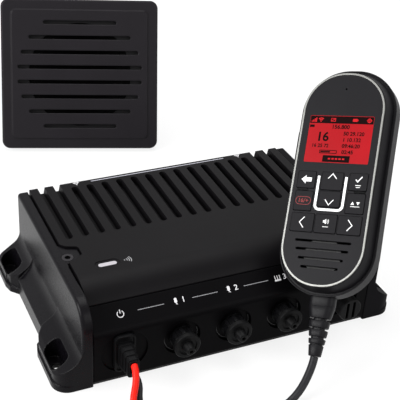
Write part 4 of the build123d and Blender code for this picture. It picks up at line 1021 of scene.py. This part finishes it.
@dataclass
class Transceiver:
    """The finned case on its brackets, its ports and what is printed on it. Millimetres."""

    frame: dict
    cover_top: float = 68.0
    shelf_point: Point = (0.0, -68.6, 51.0)
    shelf_rise: Spot = (0.7727, 0.6349)
    port_labels: tuple[float, ...] = (-42.5, -2.0, 37.0)
    power_label: float = -86.0
    label_height: float = 4.0
    sign_shift: float = 2.9
    hub_port: int = 3
    rule_width: float = 0.5
    rule_height: float = -0.2
    rules: tuple[Spot, ...] = ((-73.5, -54.0), (-33.0, -13.5), (7.0, 26.5))
    back_rule: tuple[Spot, Spot] = ((-58.0, 75.4), (57.0, 75.4))
    back_rule_width: float = 0.9
    antennas: tuple[Spot, ...] = ((-70.0, 0.0), (70.0, 1.4))
    lens: Spot = (-82.7, -33.4)
    status_sign: float = 12.5
    print_lift: float = 0.02
    body: str = "transceiver"
    case_slot: str = "painted_case"
    white: Ink = Ink("white print", (0.78, 0.77, 0.79))
    grey: Ink = Ink("grey print", (0.26, 0.26, 0.27))
    pale: Ink = Ink("pale print", (0.42, 0.42, 0.47))
    dim: Ink = Ink("dim print", (0.3, 0.3, 0.31))
    outside: tuple[Finish, ...] = (
        Coating("black powder coat", (0.004, 0.0036, 0.0042), specular=0.065, on=("case_shell",)),
        Coating(
            "satin bracket coat", (0.0028, 0.0024, 0.0034), Sheen.SOFT_GLOSS, specular=0.09,
            edge=0.0016, on=("left_bracket",),
        ),
        # Both brackets wear one coat; this darker, duller copy on the right bracket is painted
        # shade.
        Coating(
            "plain bracket coat", (0.0035, 0.0032, 0.004), Sheen.MATT, specular=0.05,
            on=("right_bracket",),
        ),
        Coating(
            "moulded panel", (0.0022, 0.002, 0.0024), Sheen.SATIN, 0.0008, 0.00005, specular=0.03,
            on=("connector_panel",),
        ),
        Coating(
            "plug moulding", (0.004, 0.004, 0.0045), Sheen.SATIN, 0.0008, 0.00004, specular=0.07,
            on=("power_plug", "power_socket"),
        ),
        Coating("socket moulding", (0.003, 0.003, 0.0035), specular=0.1, on=("port_sockets",)),
        Drawn(
            "blackened steel", (0.035, 0.033, 0.036), Sheen.SATIN,
            on=("bracket_screws", "case_screws"),
        ),
        Drawn("plated brass", (0.72, 0.6, 0.36), on=("vhf_socket", "gps_socket")),
        Coating(
            "closing plate coat", (0.01, 0.01, 0.011), Sheen.MATT, specular=0.12,
            on=("base_plate",),
        ),
        Backlit("status lens", (0.42, 0.4, 0.43), 0.1, 0.008, on=("status_lens",)),
    )
    inside: tuple[Finish, ...] = (
        Coating(
            "gasket rubber", (0.012, 0.012, 0.012), Sheen.MATT, specular=0.2, on=("base_gasket",)
        ),
        Coating(
            "solder mask", (0.02, 0.14, 0.06), Sheen.SOFT_GLOSS, 0.002, 0.00002, 0.2,
            on=("main_board", "handset_board"),
        ),
        Drawn("tinned shield", (0.55, 0.55, 0.54), on=("rf_shield",)),
        Drawn("machined aluminium", (0.6, 0.6, 0.61), on=("amplifier",)),
    )

    def build(self) -> None:
        """Dresses the case and its electronics and adds the markings."""
        dress(self.frame, *self.outside, *self.inside)
        white = self.white.material()
        self.mark_shelf(white)
        self.mark_back_strip(white)
        self.mark_lens()

    def mark_shelf(self, white: bpy.types.Material) -> None:
        """Prints the port numbers, the power sign and the thin rules between them.

        Args:
            white: The white of the signs.
        """
        rise = Vector((0.0, *self.shelf_rise)).normalized()
        shelf = Placement(Vector(self.shelf_point) * MM, SIDEWAYS, rise)
        signs = Printing("port_numbers", shelf, self.print_lift)
        for number, x in enumerate(self.port_labels, start=1):
            self.port_sign(signs, number, x - self.sign_shift)
            signs.figures(str(number), x + self.sign_shift, 0.0, self.label_height, 1.05)
        x = self.power_label
        signs.stroke(arc(x, -0.3, 2.3, 125.0, 415.0, 24), 0.55)
        signs.patch(bar((x, 0.1), (x, 2.8), 0.6))
        signs.piece(white, self.body, "panel")
        rules = Printing("port_rules", shelf, self.print_lift)
        for left, right in self.rules:
            rules.patch(bar((left, self.rule_height), (right, self.rule_height), self.rule_width))
        rules.piece(self.grey.material(), self.body, "panel")

    def port_sign(self, marks: Printing, number: int, x: float) -> None:
        """Draws what a port takes: a handset, or the hub that joins several.

        Args:
            marks: The print that gets the sign.
            number: The port's number.
            x: The sign's middle across in millimetres.
        """
        if number != self.hub_port:
            marks.patch(rounded(x, 0.5, 2.1, 3.6, 0.9))
            marks.stroke([(x, -1.2), (x, -2.0), (x + 1.0, -2.3)], 0.5)
            return
        marks.patch(rounded(x, -1.6, 5.0, 1.3, 0.3))
        for shift in (-1.9, 0.0, 1.9):
            marks.patch(bar((x + shift, -1.1), (x + shift, 2.0), 0.55))

    def mark_back_strip(self, white: bpy.types.Material) -> None:
        """Prints the long rule and the two antenna signs on the strip behind the fins.

        Args:
            white: The white of the signs.
        """
        place = Placement(UPWARD * self.cover_top * MM, SIDEWAYS, BACKWARD)
        rule = Printing("back_rule", place, self.print_lift)
        rule.patch(bar(*self.back_rule, self.back_rule_width))
        rule.piece(self.pale.material(), self.body, self.case_slot)
        signs = Printing("antenna_signs", place, self.print_lift)
        for x, stem in self.antennas:
            signs.stroke([(x - 2.4, 77.0), (x, 74.6), (x + 2.4, 77.0)], 0.7)
            signs.patch(bar((x, 73.2), (x, 75.6 + stem), 0.7))
            signs.patch(bar((x - 2.4, 77.0), (x + 2.4, 77.0), 0.7))
        signs.piece(white, self.body, self.case_slot)

    def mark_lens(self) -> None:
        """Adds the small sign beside the status lens."""
        place = Placement(Vector((*self.lens, self.cover_top)) * MM, SIDEWAYS, BACKWARD)
        sign = Printing("status_sign", place, self.print_lift)
        x = self.status_sign
        sign.patch(circle(x, 0.0, 0.55, 12))
        for radius in (1.9, 3.4, 4.9):
            sign.stroke(arc(x, 0.0, radius, -38.0, 38.0), 0.6)
        sign.piece(self.dim.material(), self.body, self.case_slot)


@dataclass
class DustCaps:
    """The rubber caps of the ports, with their coupling rings. Millimetres."""

    frame: dict
    ports: tuple[Spot, ...] = ((-43.0, 25.0), (-3.0, 25.0), (37.5, 25.0))
    face: float = -77.6
    ring_radius: float = 13.0
    ring_width: float = 0.7
    lip_lift: float = -2.9
    lip_height: float = 0.5
    lip_arcs: tuple[Spot, ...] = ((-60.0, 20.0), (60.0, 110.0), (150.0, 250.0))
    rubbers: tuple[Finish, ...] = (
        Coating(
            "cap rubber", (0.005, 0.005, 0.0053), Sheen.SATIN, 0.0005, 0.00006, specular=0.07,
            on=("port_cap_1", "port_cap_2", "port_cap_3", "network_cap"),
        ),
        Coating(
            "ring moulding", (0.004, 0.004, 0.0045), Sheen.SOFT_GLOSS, specular=0.1,
            on=("port_collar_1", "port_collar_2", "port_collar_3"),
        ),
    )
    lip: Coating = Coating("well lip", (0.012, 0.012, 0.013), Sheen.SOFT_GLOSS, specular=0.3)

    def build(self) -> None:
        """Dresses caps and rings and adds the thin lip round each port's well."""
        dress(self.frame, *self.rubbers)
        finish = self.lip.material()
        outer, inner = self.ring_radius, self.ring_radius - self.ring_width
        for number, (x, z) in enumerate(self.ports, start=1):
            place = Placement(Vector((x, self.face, z)) * MM, SIDEWAYS, UPWARD)
            seat = Printing(f"port_lip_{number}", place, self.lip_lift, self.lip_height)
            for first, last in self.lip_arcs:
                seat.patch(arc(0, 0, outer, first, last) + arc(0, 0, inner, last, first))
            seat.piece(finish, "transceiver", "panel")


# ---------------------------------------- handset


@dataclass(frozen=True)
class BendRelief:
    """The relief under the handset: flared root, ribs on a thin core, and a sleeve. Millimetres.

    Each part is where it starts and ends, and its width and depth at both ends.
    """

    place: Placement
    finish: Coating = Coating(
        "relief rubber", (0.0065, 0.0062, 0.0075), Sheen.SATIN, 0.0007, 0.00005, specular=0.12
    )
    core: Spot = (8.8, 7.0)
    corner_share: float = 0.42
    edge: float = 0.5
    sharp_from: float = 32.0
    parts: tuple[tuple[float, float, Spot, Spot], ...] = (
        (0.2, 9.0, (18.8, 11.2), (18.8, 11.2)),
        (9.0, 17.6, (18.6, 11.2), (15.0, 10.8)),
        (19.3, 24.2, (14.6, 10.6), (13.6, 10.2)),
        (25.8, 30.4, (13.2, 10.0), (12.2, 9.6)),
        (31.9, 35.4, (11.8, 9.4), (11.0, 9.2)),
        (36.3, 43.9, (10.2, 9.2), (8.6, 8.4)),
    )

    def rows(self) -> list[tuple[float, Spot]]:
        """Sections from the root to the tip.

        Returns:
            A distance and a width and depth for each.
        """
        rows = []
        for start, end, first, last in self.parts:
            if rows and start - rows[-1][0] > self.edge:
                rows += [(rows[-1][0], self.core), (start, self.core)]
            rows += [
                (start, (first[0] - self.edge, first[1] - self.edge)), (start + self.edge, first),
                (end - self.edge, last), (end, (last[0] - self.edge, last[1] - self.edge)),
            ]
        return rows

    def build(self) -> None:
        """Lofts the sections into one closed piece, which stands for the plain solid."""
        mesh = bmesh.new()
        rings = []
        for distance, (width, depth) in self.rows():
            outline = rounded(0.0, 0.0, width, depth, min(width, depth) * self.corner_share)
            rings.append(lay_ring(mesh, self.place, outline, distance))
        for low, high in zip(rings, rings[1:]):
            join_rings(mesh, low, high)
        mesh.faces.new(rings[0][::-1])
        mesh.faces.new(rings[-1])
        piece = add_mesh("bend_relief", mesh, self.finish.material(), "handset")
        piece.data.shade_smooth()
        piece.data.set_sharp_from_angle(angle=math.radians(self.sharp_from))
        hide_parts("handset_relief")


class KeySign(Enum):
    """What is drawn on each key of the handset."""

    BACK = "key_back"
    ACCEPT = "key_ok"
    CHANNEL = "key_channel"
    POWER_LEVEL = "key_option"
    UP = "key_up"
    DOWN = "key_down"
    LEFT = "key_left"
    VOLUME = "key_middle"
    RIGHT = "key_right"


@dataclass
class Handset:
    """The handset: shells, trim, keys, lit screen and what is shown on them. Millimetres."""

    frame: dict
    centre: Point = (74.8, -60.3, 125.0)
    across: Point = (0.6325, -0.7377, 0.2361)
    facing: Point = (-0.658, -0.3509, 0.6662)
    key_top: float = 0.51
    sign_height: float = 0.08
    screen_half: float = 23.8
    screen_top: float = 43.9
    screen_bottom: float = 8.7
    screen_lift: float = 0.02
    screen_step: float = 0.03
    screen_weight: float = 0.036
    bar_middle: float = 0.088
    screen_fields: tuple[tuple[float, float, float, float], ...] = (
        (0.005, 0.01, 0.995, 0.165), (0.012, 0.2, 0.085, 0.255), (0.29, 0.845, 0.71, 0.985),
    )
    readings: tuple[tuple[str, float, float, float], ...] = (
        ("16", 0.24, 0.46, 6.8), ("156.800", 0.5, 0.24, 3.0), ("50 29.120", 0.72, 0.38, 2.8),
        ("1 10.132", 0.7, 0.51, 2.8), ("09:46:20", 0.7, 0.64, 2.8),
        ("16 25 72", 0.22, 0.645, 2.6), ("02:45", 0.66, 0.77, 2.8),
    )
    chevron_width: float = 0.62
    chevrons: tuple[tuple[KeySign, tuple[Spot, Spot, Spot]], ...] = (
        (KeySign.UP, ((-3.1, -3.0), (0.0, 0.6), (3.1, -3.0))),
        (KeySign.DOWN, ((-3.1, -18.4), (0.0, -22.2), (3.1, -18.4))),
        (KeySign.LEFT, ((-16.0, -31.9), (-19.3, -35.8), (-16.0, -39.7))),
        (KeySign.RIGHT, ((16.0, -31.9), (19.3, -35.8), (16.0, -39.7))),
    )
    channel_spot: Spot = (-19.1, -20.1)
    dash: Spot = (21.0, -11.8)
    dash_size: Spot = (8.4, 1.3)
    dash_corner: float = 0.6
    dash_height: float = 0.5
    relief_root: Point = (0.0, -81.8, -18.9)
    body: str = "handset"
    dash_gloss: Coating = Coating(
        "dash gloss", (0.0015, 0.0015, 0.0018), Sheen.SOFT_GLOSS, specular=0.06
    )
    screen_black: Ink = Ink("screen black", (0.006, 0.001, 0.001), specular=0.03)
    screen_red: Ink = Ink("screen red", (0.42, 0.01, 0.014), 0.3, 0.05)
    key_white: Ink = Ink("key white", (0.82, 0.82, 0.82), 0.12)
    key_red: Ink = Ink("key red", (0.22, 0.012, 0.012), 0.03)
    finishes: tuple[Finish, ...] = (
        Coating(
            "face plastic", (0.0088, 0.0084, 0.0098), Sheen.SATIN, 0.0005, 0.00004, 0.06, 0.08,
            on=("handset_front",),
        ),
        Coating(
            "shell plastic", (0.0085, 0.008, 0.0095), Sheen.SATIN, 0.0006, 0.00005, 0.08, 0.09,
            on=("handset_back",),
        ),
        Coating(
            "soft rubber", (0.007, 0.007, 0.008), Sheen.MATT, 0.0008, 0.00006, specular=0.12,
            on=("handset_seal", "handset_relief", "ptt_button"),
        ),
        Coating(
            "key rubber", (0.01, 0.0096, 0.011), Sheen.MATT, 0.0005, 0.00004, 0.06, 0.1,
            on=tuple(sign.value for sign in KeySign),
        ),
        Drawn("brushed trim", (0.2, 0.2, 0.19), Sheen.SATIN, on=("handset_trim",)),
        Drawn("stainless", (0.45, 0.45, 0.45), on=("handset_screws",)),
        Backlit("light bar", (0.86, 0.86, 0.86), 0.35, on=("light_bar",)),
        Coating(
            "earpiece frame", (0.02, 0.02, 0.02), Sheen.MATT,
            on=("handset_speaker", "display_module"),
        ),
        Backlit(
            "lit screen", (0.29, 0.0045, 0.008), 0.34, 0.05, 0.02, 0.07, on=("display_window",)
        ),
        Coating(
            "distress red", (0.62, 0.012, 0.01), Sheen.SOFT_GLOSS, tone=0.06,
            on=("distress_flap", "distress_key"),
        ),
    )

    def place(self) -> Placement:
        """The handset's own frame.

        Returns:
            The frame, in the plane of its face.
        """
        across = Vector(self.across).normalized()
        facing = Vector(self.facing).normalized()
        up = facing.cross(across).normalized()
        return Placement(Vector(self.centre) * MM, up.cross(facing).normalized(), up)

    def build(self) -> None:
        """Dresses the handset and adds its relief, signs and screen."""
        dress(self.frame, *self.finishes)
        face = self.place()
        root = face.at(*(part * MM for part in self.relief_root))
        BendRelief(Placement(root, face.across, face.out)).build()
        self.face_dashes()
        self.draw_screen()
        self.draw_screen_signs()
        self.draw_keys()

    def face_dashes(self) -> None:
        """Caps the two raised dashes between the outer keys with glossy black."""
        marks = Printing("face_dashes", self.place(), self.dash_height)
        x, y = self.dash
        for side in (-1, 1):
            marks.patch(rounded(side * x, y, *self.dash_size, self.dash_corner))
        marks.piece(self.dash_gloss.material(), self.body, "handset")

    def screen_spot(self, x: float, y: float) -> Spot:
        """A point of the screen from its share across and down."""
        height = self.screen_top - self.screen_bottom
        return (-self.screen_half + 2 * self.screen_half * x, self.screen_top - height * y)

    def screen_patch(self, left: float, top: float, right: float, bottom: float) -> Outline:
        """A rectangle of the screen from its shares across and down.

        Args:
            left: Share across of its left edge.
            top: Share down of its upper edge.
            right: Share across of its right edge.
            bottom: Share down of its lower edge.

        Returns:
            Its corners.
        """
        x0, y0 = self.screen_spot(left, top)
        x1, y1 = self.screen_spot(right, bottom)
        return [(x0, y1), (x1, y1), (x1, y0), (x0, y0)]

    def draw_screen(self) -> None:
        """Lays the dark fields and the dark figures on the lit screen."""
        place = self.place()
        dark = self.screen_black.material()
        ground = Printing("screen_bar", place, self.screen_lift, self.screen_step)
        for edges in self.screen_fields:
            ground.patch(self.screen_patch(*edges))
        ground.piece(dark, self.body, "display")
        figures = Printing("screen_figures", place, self.screen_lift, self.screen_step)
        for text, x, y, height in self.readings:
            figures.figures(text, *self.screen_spot(x, y), height, weight=self.screen_weight)
        x, y = self.screen_spot(0.36, 0.77)
        figures.ring(rounded(x, y, 13.0, 2.6, 0.4), rounded(x, y, 12.0, 1.6, 0.2))
        figures.patch(bar((x - 5.6, y), (x + 1.5, y), 1.0))
        figures.piece(dark, self.body, "display")

    def draw_screen_signs(self) -> None:
        """Draws the lit signs that stand in the dark bar and the dark field."""
        signs = Printing("screen_signs", self.place(), 3 * self.screen_lift, self.screen_step)
        for step in range(4):
            x, y = self.screen_spot(0.035 + 0.022 * step, 0.14)
            signs.patch(bar((x, y), (x, y + 0.9 + 0.8 * step), 0.75))
        x, y = self.screen_spot(0.175, 0.13)
        signs.patch(circle(x, y + 0.3, 0.5, 12))
        for radius in (1.5, 2.6):
            signs.patch(arc(x, y, radius + 0.35, 45, 135) + arc(x, y, radius - 0.35, 135, 45))
        x, y = self.screen_spot(0.37, self.bar_middle)
        signs.ring(rounded(x, y, 3.6, 2.6, 0.3), rounded(x, y, 2.8, 1.8, 0.2))
        signs.patch(bar((x - 1.3, y - 0.8), (x + 1.3, y + 0.8), 0.45))
        x, y = self.screen_spot(0.71, self.bar_middle)
        signs.patch(rounded(x, y, 3.4, 2.2, 0.3))
        signs.patch(bar((x + 1.6, y), (x + 2.3, y), 1.0))
        x, y = self.screen_spot(0.93, self.bar_middle)
        signs.ring(circle(x, y, 1.6), circle(x, y, 1.0))
        signs.patch(bar((x - 1.9, y), (x + 1.9, y), 0.5))
        signs.patch(bar((x, y - 1.9), (x, y + 1.9), 0.5))
        x, y = self.screen_spot(0.5, 0.915)
        for shift in (-5.0, -2.4, 0.2, 2.8, 5.4):
            signs.patch(bar((x + shift - 0.85, y), (x + shift + 0.85, y), 1.1))
        signs.piece(self.screen_red.material(), self.body, "display")

    def key_print(self, sign: KeySign) -> Printing:
        """An empty print on one key's top."""
        return Printing(f"{sign.value}_sign", self.place(), self.key_top, self.sign_height)

    def draw_keys(self) -> None:
        """Draws every key's sign, which moves with the key."""
        white = self.key_white.material()
        for sign, draw in (
            (KeySign.BACK, self.back_arrow), (KeySign.ACCEPT, self.accept_tick),
            (KeySign.POWER_LEVEL, self.level_arrows), (KeySign.VOLUME, self.volume_sign),
        ):
            marks = self.key_print(sign)
            draw(marks)
            marks.piece(white, sign.value, "key")
        for sign, tips in self.chevrons:
            marks = self.key_print(sign)
            marks.stroke(list(tips), self.chevron_width)
            marks.piece(white, sign.value, "key")
        marks = self.key_print(KeySign.CHANNEL)
        x, y = self.channel_spot
        marks.ring(rounded(x, y, 11.4, 6.0, 2.9), rounded(x, y, 10.7, 5.3, 2.55))
        marks.figures("16/+", x, y, 3.1)
        marks.piece(self.key_red.material(), KeySign.CHANNEL.value, "key")

    @staticmethod
    def back_arrow(marks: Printing) -> None:
        """Draws the broad arrow to the left."""
        marks.patch([
            (-22.9, -4.5), (-19.4, -7.7), (-19.4, -6.0), (-15.2, -6.0),
            (-15.2, -3.0), (-19.4, -3.0), (-19.4, -1.3),
        ])

    @staticmethod
    def accept_tick(marks: Printing) -> None:
        """Draws the tick, with the two short lines of a list under it.

        Args:
            marks: The key's empty print.
        """
        marks.stroke([(17.2, -2.8), (18.6, -4.4), (21.6, -0.6)], 0.75)
        marks.patch(bar((17.3, -7.0), (21.3, -7.0), 0.45))
        marks.patch(bar((17.9, -8.4), (20.7, -8.4), 0.45))

    @staticmethod
    def level_arrows(marks: Printing) -> None:
        """Draws the small arrows up and down, over a line.

        Args:
            marks: The key's empty print.
        """
        marks.patch([(15.9, -21.0), (18.5, -21.0), (17.2, -18.7)])
        marks.patch([(21.2, -21.2), (22.5, -18.9), (19.9, -18.9)])
        marks.patch(bar((15.9, -22.3), (22.5, -22.3), 0.42))

    @staticmethod
    def volume_sign(marks: Printing) -> None:
        """Draws the loudspeaker sign over a short line.

        Args:
            marks: The key's empty print.
        """
        marks.patch([
            (-2.0, -35.0), (-1.1, -35.0), (0.2, -36.1), (0.2, -32.3), (-1.1, -33.4), (-2.0, -33.4),
        ])
        for radius in (1.4, 2.4):
            outer = arc(-0.3, -34.2, radius + 0.18, -42, 42)
            marks.patch(outer + arc(-0.3, -34.2, radius - 0.18, 42, -42))
        marks.patch(bar((-2.0, -38.0), (2.2, -38.0), 0.42))


# ---------------------------------------- loudspeaker


@dataclass
class Loudspeaker:
    """The square loudspeaker that stands behind the transceiver."""

    frame: dict
    finishes: tuple[Finish, ...] = (
        Coating(
            "grille plastic", (0.0095, 0.0082, 0.0102), Sheen.SATIN, 0.0007, 0.00005, 0.08,
            specular=0.12, edge=0.0018, on=("speaker_grille",),
        ),
        Coating(
            "housing plastic", (0.009, 0.0085, 0.0095), specular=0.14,
            on=("speaker_housing", "speaker_gland"),
        ),
        # Basket and cone are made near-black and dull as painted shade behind the grille slots.
        Coating(
            "basket paint", (0.002, 0.002, 0.002), Sheen.MATT, specular=0.03,
            on=("speaker_basket",),
        ),
        Coating(
            "coated cone", (0.002, 0.002, 0.002), Sheen.MATT, 0.001, 0.00008, specular=0.03,
            on=("speaker_cone",),
        ),
        Drawn("stainless screws", (0.45, 0.45, 0.45), on=("speaker_screws",)),
    )

    def build(self) -> None:
        """Dresses grille, box, basket and cone."""
        dress(self.frame, *self.finishes)


def main() -> None:
    """Builds the scene in order."""
    logging.basicConfig(level=logging.INFO, format="%(name)s: %(message)s")
    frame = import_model()
    Studio().build()
    Wiring(frame).build()
    for part in (Transceiver(frame), DustCaps(frame), Handset(frame), Loudspeaker(frame)):
        part.build()
        LOG.info("finished %s", type(part).__name__)


if __name__ == "__main__":
    main()
